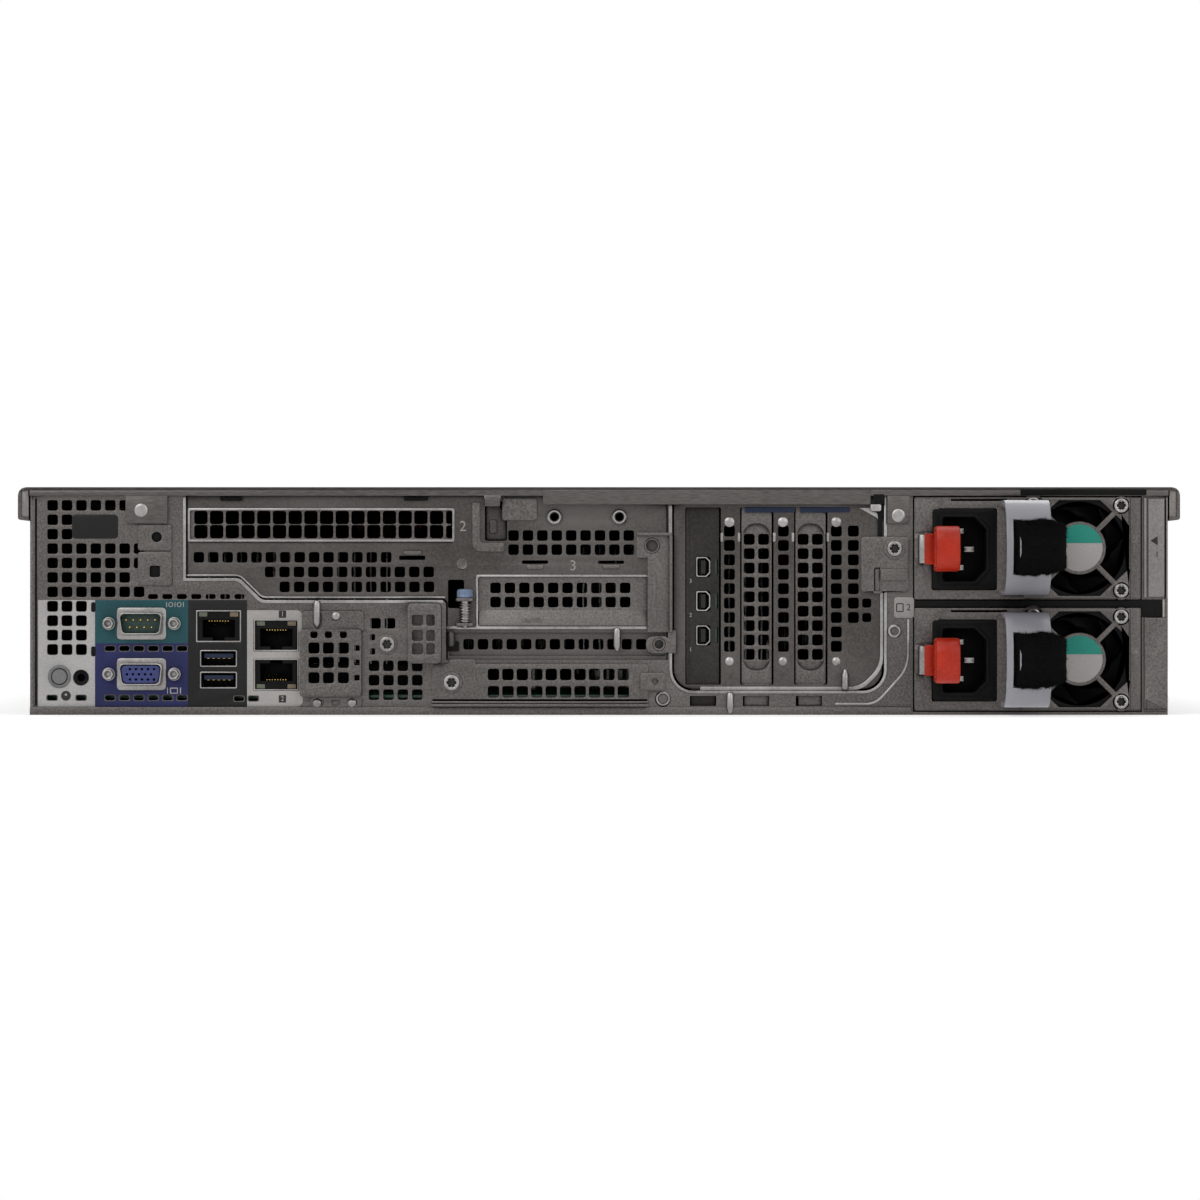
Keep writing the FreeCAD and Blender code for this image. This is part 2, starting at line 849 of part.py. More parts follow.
def riser_2_panel():
    """Riser panel with three upright card windows between perforated strips."""
    y = rear + sheet
    places = upright_columns()
    rows = steps(upright_rows_top(), riser_2_bottom + upright_rows_margin, -hole_pitch)
    holes = []
    for i in (0, 2, 4):
        holes.append(rectangle(places[i][0] + upright_rim, places[i][1] - upright_rim,
                               riser_2_bottom + card_foot, upright_top(), y))
    for i in (1, 3):
        holes += grid([(places[i][0] + places[i][1]) / 2], rows, hole_side, y)
    first = places[4][1] + side_column_inset
    columns = steps(first, riser_2_right - side_column_margin, side_column_pitch)
    for x, picked in zip(columns, side_column_rows):
        holes += grid([x], rows[picked], hole_side, y)
    panel = outline(riser_2_corners(panel_lap), lambda a, b: at(a, y, b))
    return plate(panel, holes, sheet)


def upright_top():
    return cover_under - upright_drop


def upright_rows_top():
    return upright_top() - upright_row_inset


def upright_slot_fillers():
    """Two upright slot covers, each with a drawn pan that holds two columns of vents."""
    y = rear + 2 * sheet
    low = riser_2_bottom + card_foot
    fillers = []
    for x0, x1 in (upright_columns()[2], upright_columns()[4]):
        pan = (x0 + pan_inset, x1 - pan_inset, low + pan_foot, upright_top() - pan_head)
        front = plate(rectangle(x0, x1, low, upright_top() + fit_gap, y),
                      [rectangle(*pan, y, pan_radius)], sheet)
        wide = (pan[0] - pan_wall, pan[1] + pan_wall, pan[2] - pan_wall, pan[3] + pan_wall)
        rim = plate(rectangle(*wide, y + sheet, pan_radius),
                    [rectangle(*pan, y + sheet, pan_radius)], pan_depth)
        middle = (x0 + x1) / 2
        rows = steps(pan[3] - pan_row_inset, pan[2] + hole_side, -hole_pitch)
        floor_y = y + sheet + pan_depth
        floor_plate = plate(rectangle(*wide, floor_y, pan_radius),
                            grid([middle - hole_pitch / 2, middle + hole_pitch / 2], rows,
                                 hole_side, floor_y), sheet)
        tongue = box(middle - tongue_width / 2, middle + tongue_width / 2, y, y + sheet,
                     hem_height + fit_gap, low)
        fillers.append(front.fuse([rim, floor_plate, tongue]))
    return Part.makeCompound(fillers)


def video_card():
    """Upright card: bracket with three small sockets, circuit board, heat sink and its fins."""
    y = rear + 2 * sheet
    x0, x1 = upright_columns()[0]
    low = riser_2_bottom + card_foot
    top = upright_top() + fit_gap
    middle = (x0 + x1) / 2
    windows = []
    shells = []
    for i in range(card_ports):
        z = low + port_first + i * port_pitch
        windows.append(rectangle(middle - port_width / 2, middle + port_width / 2,
                                 z - port_height / 2, z + port_height / 2, y))
        shell = box(middle - port_width / 2, middle + port_width / 2, y - port_reach, y + port_depth,
                    z - port_height / 2, z + port_height / 2)
        mouth = box(middle - port_width / 2 + port_wall, middle + port_width / 2 - port_wall,
                    y - port_reach, y + port_depth / 2,
                    z - port_height / 2 + port_wall, z + port_height / 2 - port_wall)
        tongue = box(middle - port_tongue / 2, middle + port_tongue / 2, y, y + port_depth / 2,
                     z - port_height / 4, z + port_height / 4)
        shells.append(shell.cut(mouth).fuse(tongue))
    bracket = plate(rectangle(x0, x1, low, top, y), windows, sheet)
    tongue = box(middle - tongue_width / 2, middle + tongue_width / 2, y, y + sheet,
                 hem_height + fit_gap, low)
    board = box(x1 - card_board_inset - board_thickness, x1 - card_board_inset, y + sheet,
                y + card_length, low + card_board_rise, low + card_board_rise + card_board_height)
    sink_x = x1 - card_board_inset - board_thickness
    sink_y = y + card_sink_start
    sink = box(sink_x - card_sink_base, sink_x, sink_y, sink_y + card_sink_length,
               low + card_board_rise + sheet, low + card_board_rise + card_board_height - sheet)
    fins = []
    for z in steps(low + card_board_rise + sheet,
                   low + card_board_rise + card_board_height - 2 * sheet, card_fin_pitch):
        fins.append(box(sink_x - card_sink_base - card_fin_height, sink_x - card_sink_base,
                        sink_y, sink_y + card_sink_length, z, z + sheet))
    return bracket.fuse(shells + [tongue, board, sink] + fins)


def card_retainer():
    """Folded clip over the seam between the risers, with a finger hook on top."""
    y = rear - sheet
    x1 = riser_2_left + retainer_lap
    x0 = x1 - retainer_width
    z1 = cover_under - retainer_top_drop
    head = z1 - retainer_head_height
    clip = plate(outline([(x0, head), (x1 - retainer_leg, head), (x1 - retainer_leg, retainer_foot),
                          (x1, retainer_foot), (x1, z1), (x0, z1, corner_radius)],
                         lambda a, b: at(a, y, b)),
                 [circle(x0 + retainer_hole_inset, z1 - retainer_head_height / 2,
                         retainer_hole_radius, y)], sheet)
    hook = box(x0, x1, y - retainer_reach, y, z1 - sheet, z1)
    edge = box(x1 - sheet, x1, y - retainer_reach, y, retainer_foot, z1 - sheet)
    return clip.fuse([hook, edge]).removeSplitter()


def vent_shield():
    """Boxed mesh guard over the wall's vent, with a riveted tab above and a foot below."""
    x0 = left + shield_left
    x1 = left + shield_right
    y = rear - shield_reach
    columns = steps(x0 + shield_hole_inset, x1 - shield_hole_inset / 2, hole_pitch)
    rows = steps(shield_bottom + shield_row_inset, shield_top - shield_hole_inset / 2, hole_pitch)
    face = plate(rectangle(x0, x1, shield_bottom, shield_top, y),
                 grid(columns, rows, hole_side, y), sheet)
    sides = plate(rectangle(x0, x1, shield_bottom, shield_top, y + sheet),
                  [rectangle(x0 + shield_wall, x1 - shield_wall, shield_bottom + shield_wall,
                             shield_top - shield_wall, y + sheet)], shield_reach - sheet)
    tab = box(x0 + shield_wall, x1 + shield_wall, rear - sheet, rear, shield_top,
              shield_top + shield_tab_height)
    foot = box(x0 + shield_foot_inset, x1, rear - sheet, rear, hem_height, shield_bottom)
    return face.fuse([sides, tab, foot]).removeSplitter()


def riser_latch_box():
    """Pierced guard box over the first riser's release, open behind."""
    x0 = riser_1_middle - latch_box_left
    x1 = x0 + latch_box_width
    y = rear - latch_box_reach
    z1 = latch_box_bottom + latch_box_height
    columns = [x0 + latch_box_width * share for share in latch_box_columns]
    rows = steps(latch_box_bottom + latch_box_row, z1 - hole_side, hole_pitch)
    face = plate(rectangle(x0, x1, latch_box_bottom, z1, y),
                 grid(columns, rows, hole_side - hole_margin, y), sheet)
    sides = plate(rectangle(x0, x1, latch_box_bottom, z1, y + sheet),
                  [rectangle(x0 + sheet, x1 - sheet, latch_box_bottom + sheet, z1 - sheet,
                             y + sheet)], latch_box_reach - sheet)
    return face.fuse(sides).removeSplitter()


def d_connector(place, shell_reach):
    """D-shaped connector: flange behind the wall, tapered shell through it, two hex posts."""
    x = left + place[0]
    z = place[1]
    back = rear + sheet
    flange = box(x - d_flange_width / 2, x + d_flange_width / 2, back, back + sheet,
                 z - d_flange_height / 2, z + d_flange_height / 2)
    half = d_shell_width / 2
    tall = d_shell_height / 2
    shell = prism_y([(x - half, z + tall, d_radius), (x - half + d_taper, z - tall, d_radius),
                     (x + half - d_taper, z - tall, d_radius), (x + half, z + tall, d_radius)],
                    rear - shell_reach, back)
    posts = [prism_y(polygon(x + side * jack_screw_spacing / 2, z, jack_post_radius, 6),
                     rear - jack_post_reach, back) for side in (-1, 1)]
    return flange.fuse([shell] + posts)


def serial_vga_stack():
    """Serial connector over a video connector, on one block that stands on the board."""
    serial = d_connector(serial_place, d_shell_reach)
    x = left + serial_place[0]
    z = serial_place[1]
    half = d_shell_width / 2 - d_wall
    tall = d_shell_height / 2 - d_wall
    hollow = prism_y([(x - half, z + tall, d_radius), (x - half + d_taper, z - tall, d_radius),
                      (x + half - d_taper, z - tall, d_radius), (x + half, z + tall, d_radius)],
                     rear - d_shell_reach, rear + d_pin_depth)
    serial = serial.cut(hollow)
    video = d_connector(video_place, d_shell_reach)
    block = box(x - d_flange_width / 2, x + d_flange_width / 2, rear + 2 * sheet,
                rear + 2 * sheet + d_block_depth, board_top(), z + d_flange_height / 2)
    return block.fuse([serial, video]).removeSplitter()


def board_top():
    return board_height + board_thickness


def jack_block(x, z, flip):
    """Network jack mouth as a cutter: a wide mouth with a narrower latch step; flip turns it over."""
    half = jack_mouth_width / 2
    mouth_z = z + flip * jack_mouth_offset
    mouth = box(x - half, x + half, rear, rear + jack_mouth_depth,
                mouth_z - jack_mouth_height / 2, mouth_z + jack_mouth_height / 2)
    step_z = mouth_z + flip * (jack_mouth_height / 2 + jack_step_height / 2)
    step = box(x - jack_step_width / 2, x + jack_step_width / 2, rear, rear + jack_mouth_depth,
               step_z - jack_step_height / 2, step_z + jack_step_height / 2)
    return mouth.fuse(step)


def network_usb_stack():
    """Management network jack over two USB sockets, each socket with its tongue."""
    x = left + manage_place[0]
    z = manage_place[1]
    depth = rear + jack_block_depth
    jack = box(x - jack_width / 2, x + jack_width / 2, rear, depth, z - jack_height / 2,
               z + jack_height / 2)
    body = box(x - jack_width / 2, x + jack_width / 2, rear + sheet + fit_gap, depth, board_top(),
               z - jack_height / 2)
    jack = jack.cut(jack_block(x, z, -1))
    tongues = []
    for i in range(2):
        usb_z = usb_place[1] + i * usb_pitch
        shell = box(x - usb_width / 2, x + usb_width / 2, rear, rear + sheet + fit_gap,
                    usb_z - usb_height / 2, usb_z + usb_height / 2)
        body = body.fuse(shell)
        body = body.cut(box(x - usb_width / 2 + usb_wall, x + usb_width / 2 - usb_wall, rear,
                            rear + usb_depth, usb_z - usb_height / 2 + usb_wall,
                            usb_z + usb_height / 2 - usb_wall))
        tongues.append(box(x - usb_width / 2 + 2 * usb_wall, x + usb_width / 2 - 2 * usb_wall,
                           rear + sheet, rear + usb_depth, usb_z, usb_z + usb_tongue))
    return jack.fuse([body] + tongues).removeSplitter()


def dual_network_stack():
    """Two network jacks, the lower one turned over."""
    x = left + gigabit_place[0]
    depth = rear + jack_block_depth
    upper_z = gigabit_place[1] + gigabit_pitch
    lower = box(x - jack_width / 2, x + jack_width / 2, rear, depth,
                gigabit_place[1] - jack_height / 2, gigabit_place[1] + jack_height / 2)
    upper = box(x - jack_width / 2, x + jack_width / 2, rear, depth,
                upper_z - jack_height / 2, upper_z + jack_height / 2)
    body = box(x - jack_width / 2, x + jack_width / 2, rear + sheet + fit_gap, depth, board_top(),
               upper_z)
    stack = body.fuse([lower, upper])
    return stack.cut(jack_block(x, upper_z, -1)).cut(jack_block(x, gigabit_place[1], 1))


def id_button():
    """Round button through the rear wall, with the flange that keeps it in."""
    x = left + id_button_place[0]
    z = id_button_place[1]
    back = rear + sheet + fit_gap
    cap = round_prism(x, z, id_button_radius, rear - id_button_reach, back)
    return cap.fuse(round_prism(x, z, id_button_radius + sheet, back, back + sheet))


def riser_plunger():
    """Knob over its bracket ear, with the pin that runs through both ears."""
    x, y = plunger_axis()
    z = plunger_ear_bottom + sheet + 2 * running_gap
    knob = prism_z(polygon(x, y, plunger_radius, round_sides), z, z + plunger_knob_height)
    return knob.fuse(rod(plunger_pin_radius, at(x, y, z - plunger_pin_length), at(x, y, z)))


def main_board():
    """Main circuit board on its standoffs."""
    x0 = left + board_margin
    x1 = psu_left - bay_clearance - sheet - board_margin
    y0 = rear + board_inset
    board = box(x0, x1, y0, y0 + board_length, board_height, board_top())
    posts = [prism_z(polygon(x, y, post_radius, post_sides), sheet, board_height)
             for x in (x0 + post_inset, (x0 + x1) / 2, x1 - post_inset)
             for y in (y0 + post_inset, y0 + board_length / 2, y0 + board_length - post_inset)]
    return board.fuse(posts)


def board_row():
    """Left edges of what stands across the board: memory banks either side of each cooler."""
    bank = memory_per_bank * memory_pitch
    total = 4 * bank + 2 * cooler_size + 5 * row_gap
    board_middle = (left + psu_left - bay_clearance - sheet) / 2
    x = board_middle - total / 2
    places = {"banks": [], "coolers": []}
    for kind in ("bank", "cooler", "bank", "bank", "cooler", "bank"):
        if kind == "bank":
            places["banks"].append(x)
            x += bank + row_gap
        else:
            places["coolers"].append(x)
            x += cooler_size + row_gap
    return places


def row_y():
    return rear + board_inset + board_length - row_setback


def processor_coolers():
    """Two finned coolers standing on the board."""
    coolers = []
    y0 = row_y() - cooler_size / 2
    for x0 in board_row()["coolers"]:
        base_top = board_top() + cooler_base
        cooler = box(x0, x0 + cooler_size, y0, y0 + cooler_size, board_top(), base_top)
        spacing = (cooler_size - cooler_fin_thickness) / (cooler_fins - 1)
        fins = [box(x0 + i * spacing, x0 + i * spacing + cooler_fin_thickness, y0, y0 + cooler_size,
                    base_top, board_top() + cooler_height) for i in range(cooler_fins)]
        coolers.append(cooler.fuse(fins))
    return Part.makeCompound(coolers)


def memory_modules():
    """Memory modules upright in their sockets, in four banks."""
    modules = []
    y0 = row_y() - memory_length / 2
    for bank in board_row()["banks"]:
        for i in range(memory_per_bank):
            x = bank + (i + 0.5) * memory_pitch
            socket = box(x - socket_width / 2, x + socket_width / 2, y0 - socket_overhang,
                         y0 + memory_length + socket_overhang, board_top(), board_top() + socket_height)
            module = box(x - memory_thickness / 2, x + memory_thickness / 2, y0, y0 + memory_length,
                         board_top() + socket_height, board_top() + memory_height)
            modules.append(socket.fuse(module))
    return Part.makeCompound(modules)


def fan_centres():
    first = -fan_pitch * (fan_count - 1) / 2
    return [first + i * fan_pitch for i in range(fan_count)]


def fan_axis_z():
    return sheet + cage_wall + fan_size / 2


def fan_y():
    return rear + board_inset + board_length + board_to_fans


def fan_cage():
    """Folded tray that holds the cooling fans, with a box post between each pair."""
    half = fan_pitch * (fan_count - 1) / 2 + fan_size / 2 + fit_gap
    y0 = fan_y()
    cage = box(-half - sheet, half + sheet, y0, y0 + fan_depth, sheet, sheet + cage_wall)
    walls = [box(side * (half + sheet / 2) - sheet / 2, side * (half + sheet / 2) + sheet / 2, y0,
                 y0 + fan_depth, sheet, sheet + cage_wall + fan_size) for side in (-1, 1)]
    posts = []
    for x in fan_centres()[:-1]:
        x0 = x + fan_size / 2 + fit_gap
        x1 = x + fan_pitch - fan_size / 2 - fit_gap
        post = box(x0, x1, y0, y0 + fan_depth, sheet, sheet + cage_wall + fan_size)
        posts.append(post.cut(box(x0 + sheet, x1 - sheet, y0 + sheet, y0 + fan_depth - sheet,
                                  sheet + cage_wall, chassis_height)))
    return cage.fuse(walls + posts)


def fan_frame(x, z, y0, depth, size, bore_radius, hub_radius, spokes):
    """Square frame with a round bore, a motor mount on spokes, and the pin the rotor turns on."""
    y1 = y0 + depth
    frame = prism_y([(x - size / 2, z - size / 2, frame_corner), (x + size / 2, z - size / 2, frame_corner),
                     (x + size / 2, z + size / 2, frame_corner), (x - size / 2, z + size / 2, frame_corner)],
                    y0, y1)
    frame = frame.cut(round_prism(x, z, bore_radius, y0 - 1, y1 + 1))
    mount = round_prism(x, z, hub_radius, y1 - motor_mount, y1)
    arms = []
    for i in range(spokes):
        arm = box(hub_radius / 2, bore_radius + frame_lap, y1 - motor_mount, y1, -spoke_width / 2,
                  spoke_width / 2)
        arm.rotate(at(0, 0, 0), at(0, 1, 0), 360 / spokes * (i + 0.5))
        arm.translate(at(x, 0, z))
        arms.append(arm)
    pin = rod(fan_pin_radius, at(x, y0 + rotor_inset + hub_cap + rotor_clearance, z),
              at(x, y1 - motor_mount / 2, z))
    return frame.fuse([mount] + arms + [pin])


def round_prism(x, z, radius, y0, y1):
    """Round body along Y drawn with flats."""
    return prism_y(polygon(x, z, radius, round_sides), y0, y1)


def blade(sections):
    """Twisted blade skinned in flat facets; each section is (radius, chord, pitch) along Y."""
    rings = []
    for radius, chord, pitch, depth in sections:
        angle = radians(pitch)
        along = at(cos(angle), sin(angle), 0) * (chord / 2)
        across = at(-sin(angle), cos(angle), 0) * (blade_thickness / 2)
        middle = at(0, depth / 2, radius)
        rings.append([middle - along - across, middle + along - across, middle + along + across,
                      middle - along + across])
    faces = [facet(rings[0]), facet(rings[-1])]
    for lower, upper in zip(rings, rings[1:]):
        for i in range(4):
            j = (i + 1) % 4
            faces += [facet([lower[i], lower[j], upper[j]]), facet([lower[i], upper[j], upper[i]])]
    solid = Part.makeSolid(Part.makeShell(faces))
    if solid.Volume < 0:
        solid.reverse()
    return solid


def facet(corners):
    return Part.Face(Part.makePolygon(corners + corners[:1]))


def rotor(x, z, y0, depth, hub_radius, tip_radius, blades, bore):
    """Fan rotor: a hub with a blind bore, given as (radius, start, end), and twisted blades."""
    hub = round_prism(0, 0, hub_radius, 0, depth)
    hub = hub.cut(rod(bore[0], at(0, bore[1], 0), at(0, bore[2], 0)))
    space = depth - 2 * blade_inset
    sections = []
    for share in (0, 0.5, 1):
        radius = hub_radius - blade_root + (tip_radius - hub_radius + blade_root - blade_inset) * share
        pitch = root_pitch + (tip_pitch - root_pitch) * share
        chord = min(space / sin(radians(pitch)), 2 * pi * max(radius, hub_radius) / blades * blade_fill)
        inside = (tip_radius ** 2 - (chord * cos(radians(pitch)) / 2) ** 2) ** 0.5
        sections.append((min(radius, inside), chord, pitch, depth))
    copies = []
    for i in range(blades):
        copy = blade(sections)
        copy.rotate(at(0, 0, 0), at(0, 1, 0), 360 / blades * i)
        copies.append(copy)
    wheel = hub.fuse(copies)
    wheel.translate(at(x, y0, z))
    return wheel


def fan_frames():
    return Part.makeCompound([fan_frame(x, fan_axis_z(), fan_y(), fan_depth, fan_size,
                                        fan_bore_radius, fan_hub_radius, fan_spokes)
                              for x in fan_centres()])


def fan_rotor(number):
    depth = fan_depth - motor_mount - rotor_inset - rotor_clearance
    return rotor(fan_centres()[number], fan_axis_z(), fan_y() + rotor_inset, depth, fan_hub_radius,
                 fan_rotor_radius, fan_blades, (fan_pin_radius + running_gap, hub_cap, depth + 1))


def bay_width():
    """Clear width of one drive bay."""
    return (chassis_width - 2 * sheet - (drive_columns + 1) * cage_wall) / drive_columns


def bay_left(column):
    return left + sheet + cage_wall + column * (bay_width() + cage_wall)


def bay_floor(row):
    return sheet + cage_wall + row * (carrier_face_height + cage_wall + 2 * fit_gap)


def carrier_back():
    return front - carrier_handle_depth - fit_gap - carrier_face_depth - drive_length


def cage_back():
    return carrier_back() - drive_gap


def drive_cage():
    """Open-fronted cage of bays under a fixed top, with a vented panel above the bays."""
    y0 = cage_back()
    y1 = front - cage_setback
    bay_top = bay_floor(drive_rows)
    parts = [box(left + sheet, right - sheet, y0, y1, sheet, sheet + cage_wall)]
    for row in range(1, drive_rows + 1):
        z = bay_floor(row) - cage_wall
        parts.append(box(left + sheet, right - sheet, y0, y1, z, z + cage_wall))
    for column in range(drive_columns + 1):
        x = bay_left(column) - cage_wall
        parts.append(box(x, x + cage_wall, y0, y1, sheet, bay_top))
    sides = [box(left + sheet, left + sheet + cage_wall, y0, y1, bay_top - cage_wall, cover_under),
             box(right - sheet - cage_wall, right - sheet, y0, y1, bay_top - cage_wall, cover_under)]
    roof = box(left, right, y0, front - bay_reach, cover_under, chassis_height)
    nose = box(left + sheet, right - sheet, front - bay_reach - sheet, y1, cover_under - sheet,
               cover_under)
    panel_columns = steps(left + panel_margin, right - panel_margin - button_zone, panel_slot_pitch)
    panel_holes = [rectangle(x - panel_slot_width / 2, x + panel_slot_width / 2, bay_top + panel_edge,
                             cover_under - sheet - panel_edge, y1 - sheet) for x in panel_columns]
    panel_holes.append(circle(right - button_inset, (bay_top + cover_under) / 2,
                              power_button_radius + fit_gap, y1 - sheet))
    panel = plate(rectangle(left + sheet, right - sheet, bay_top - cage_wall, cover_under, y1 - sheet),
                  panel_holes, sheet)
    return parts[0].fuse(parts[1:] + sides + [roof, nose, panel])


def power_button():
    """Round button through the front panel, with the flange that keeps it in."""
    x = right - button_inset
    z = (bay_floor(drive_rows) + cover_under) / 2
    face = front - cage_setback
    back = face - sheet - fit_gap
    cap = round_prism(x, z, power_button_radius, back, face + button_reach)
    return cap.fuse(round_prism(x, z, power_button_radius + sheet, back - sheet, back))


def backplane():
    """Circuit board across the back of the cage, with a connector for each drive."""
    y1 = cage_back() - fit_gap
    y0 = y1 - backplane_thickness
    z1 = bay_floor(drive_rows) + backplane_rise
    board = box(left + sheet + fit_gap, right - sheet - fit_gap, y0, y1, sheet, z1)
    plugs = []
    for column in range(drive_columns):
        for row in range(drive_rows):
            x = bay_left(column) + bay_width() / 2
            z = bay_floor(row) + carrier_face_height / 2
            plugs.append(box(x - plug_width / 2, x + plug_width / 2, y1, carrier_back() - fit_gap,
                             z - plug_height / 2, z + plug_height / 2))
    return board.fuse(plugs)


def drive_carrier(column, row):
    """Drive in its carrier: vented face with a handle recess, two rails and the drive between them."""
    x0 = bay_left(column) + fit_gap
    x1 = bay_left(column) + bay_width() - fit_gap
    z0 = bay_floor(row) + fit_gap
    y1 = front - carrier_handle_depth - fit_gap
    y0 = y1 - carrier_face_depth
    face = box(x0, x1, y0, y1, z0, z0 + carrier_face_height)
    slots = []
    for x in steps(x0 + face_slot_margin, x1 - face_slot_margin, face_slot_pitch):
        slots.append(box(x - face_slot_width / 2, x + face_slot_width / 2, y1 - face_slot_depth, y1,
                         z0 + face_slot_edge, z0 + carrier_face_height - face_slot_edge))
    face = face.cut(Part.makeCompound(slots))
    drive_z = z0 + (carrier_face_height - drive_height) / 2
    drive = box(x0 + carrier_rail, x1 - carrier_rail, carrier_back(), y0, drive_z,
                drive_z + drive_height)
    rails = [box(x, x + carrier_rail, carrier_back() + rail_setback, y0, drive_z,
                 drive_z + rail_height) for x in (x0, x1 - carrier_rail)]
    hinge_x, hinge_z = handle_hinge(column, row)
    lugs = []
    for z in (hinge_z - lug_height, hinge_z + carrier_handle_height):
        lug = box(x0, x0 + lug_width, y1, front - lug_recess, z + fit_gap, z + lug_height - fit_gap)
        lugs.append(lug.cut(peg(hinge_x, handle_hinge_y(), handle_pin_radius + running_gap, z,
                                z + lug_height)))
    return face.fuse([drive] + rails + lugs)


def handle_hinge(column, row):
    """Place of a carrier handle's pin and the foot of the handle."""
    x = bay_left(column) + fit_gap + lug_width / 2
    z = bay_floor(row) + fit_gap + (carrier_face_height - carrier_handle_height) / 2
    return x, z


def handle_hinge_y():
    return front - carrier_handle_depth / 2


def carrier_handle(column, row):
    """Swing handle with a rounded hinge end, a finger recess and its pin."""
    x, z = handle_hinge(column, row)
    y = handle_hinge_y()
    half = carrier_handle_depth / 2
    x1 = bay_left(column) + bay_width() - fit_gap - handle_end_gap
    z1 = z + carrier_handle_height
    bar = prism_z([(x - half, y - half, half), (x1, y - half, half / 2), (x1, y + half, half / 2),
                   (x - half, y + half, half)], z, z1)
    pins = [peg(x, y, handle_pin_radius, z - lug_height + fit_gap, z),
            peg(x, y, handle_pin_radius, z1, z1 + lug_height - fit_gap)]
    recess = box(x1 - grip_length - handle_rim, x1 - handle_rim, y + half - grip_depth, y + half + 1,
                 z + handle_rim, z + carrier_handle_height - handle_rim)
    return bar.cut(recess).fuse(pins)


def psu_face():
    return rear - face_proud


def psu_fan_centre(unit):
    return psu_left + psu_fan_inset, psu_floor[unit] + psu_height / 2


def inlet_box(unit):
    """Power inlet's outline on the face: left, right, bottom, top."""
    x0 = psu_left + inlet_inset
    z0 = psu_floor[unit] + inlet_rise
    return x0, x0 + inlet_width, z0, z0 + inlet_height


def psu_case(unit):
    """Supply case: thin shell, face with inlet and fan openings, guard, motor mount and card edge."""
    x0 = psu_left
    x1 = psu_right
    z0 = psu_floor[unit]
    z1 = z0 + psu_height
    y0 = psu_face()
    y1 = y0 + psu_length
    fan_x, fan_z = psu_fan_centre(unit)
    shell = box(x0, x1, y0, y1, z0, z1)
    shell = shell.cut(box(x0 + psu_wall, x1 - psu_wall, y0 + psu_wall, y1 - psu_wall, z0 + psu_wall,
                          z1 - psu_wall))
    a0, a1, c0, c1 = inlet_box(unit)
    latch_slot_z = z0 + latch_rise
    openings = [box(a0 - fit_gap / 2, a1 + fit_gap / 2, y0 - 1, y0 + psu_wall + 1, c0 - fit_gap / 2,
                    c1 + fit_gap / 2),
                round_prism(fan_x, fan_z, psu_fan_bore_radius, y0 - 1, y0 + psu_wall + 1),
                box(x0 + latch_slot_left, x0 + latch_slot_left + latch_slot_width, y0 - 1,
                    y0 + psu_wall + 1, latch_slot_z - fit_gap, latch_slot_z + latch_tongue + fit_gap)]
    shell = shell.cut(Part.makeCompound(openings))
    guard_y = y0 - guard_thickness
    ring = outline(polygon(fan_x, fan_z, guard_opening / cos(pi / guard_sides), guard_sides),
                   lambda a, b: at(a, guard_y, b))
    guard = plate(rectangle(fan_x - guard_reach, x1 - guard_side_edge, z0 + guard_edge, z1 - guard_edge,
                            guard_y), [ring], guard_thickness)
    hub = round_prism(fan_x, fan_z, psu_hub_radius, guard_y, y0 + psu_wall)
    arms = []
    for i in range(guard_spokes):
        arm = box(psu_hub_radius / 2, guard_opening + frame_lap, guard_y, y0, -spoke_width / 2,
                  spoke_width / 2)
        arm.rotate(at(0, 0, 0), at(0, 1, 0), 360 / guard_spokes * (i + 0.5))
        arm.translate(at(fan_x, 0, fan_z))
        arms.append(arm)
    pin = rod(psu_pin_radius, at(fan_x, y0 + psu_wall, fan_z),
              at(fan_x, y0 + psu_wall + rotor_clearance + psu_fan_depth - hub_cap - rotor_clearance,
                 fan_z))
    pivot_x, pivot_y = latch_pivot(unit)
    lugs = []
    for z in (latch_slot_z - latch_lug - fit_gap, latch_slot_z + latch_tongue + fit_gap):
        lug = box(x0 + psu_wall, pivot_x + 2 * latch_pin_radius, y0 + psu_wall,
                  pivot_y + 2 * latch_pin_radius, z, z + latch_lug)
        lugs.append(lug.cut(peg(pivot_x, pivot_y, latch_pin_radius + running_gap, z - 1,
                                z + latch_lug + 1)))
    edge = box(x0 + edge_inset, x1 - edge_inset, y1, y1 + edge_length, z0 + edge_rise,
               z0 + edge_rise + board_thickness)
    return shell.fuse([guard, hub, pin, edge] + arms + lugs)


def psu_inlet(unit):
    """Three-blade power inlet: moulded block with one pair of cut corners in its socket."""
    x0, x1, z0, z1 = inlet_box(unit)
    y0 = psu_face() - inlet_proud
    block = box(x0, x1, y0, psu_face() + inlet_depth, z0, z1)
    middle_x = (x0 + x1) / 2
    middle_z = (z0 + z1) / 2
    half_w = socket_hole_width / 2
    half_h = socket_hole_height / 2
    socket = prism_y([(middle_x - half_w, middle_z - half_h, socket_corner),
                      (middle_x + half_w - socket_chamfer, middle_z - half_h),
                      (middle_x + half_w, middle_z - half_h + socket_chamfer),
                      (middle_x + half_w, middle_z + half_h - socket_chamfer),
                      (middle_x + half_w - socket_chamfer, middle_z + half_h),
                      (middle_x - half_w, middle_z + half_h, socket_corner)],
                     y0 - 1, psu_face() + socket_depth)
    block = block.cut(socket)
    blades = []
    for dx, dz in ((-blade_offset_x, -blade_offset_z), (-blade_offset_x, blade_offset_z),
                   (blade_offset_x, 0)):
        blades.append(box(middle_x + dx - blade_width / 2, middle_x + dx + blade_width / 2,
                          y0 + blade_recess, psu_face() + inlet_depth,
                          middle_z + dz - blade_gauge / 2, middle_z + dz + blade_gauge / 2))
    return block.fuse(blades)


def latch_pivot(unit):
    return psu_left + latch_pivot_inset, psu_face() + latch_pivot_depth


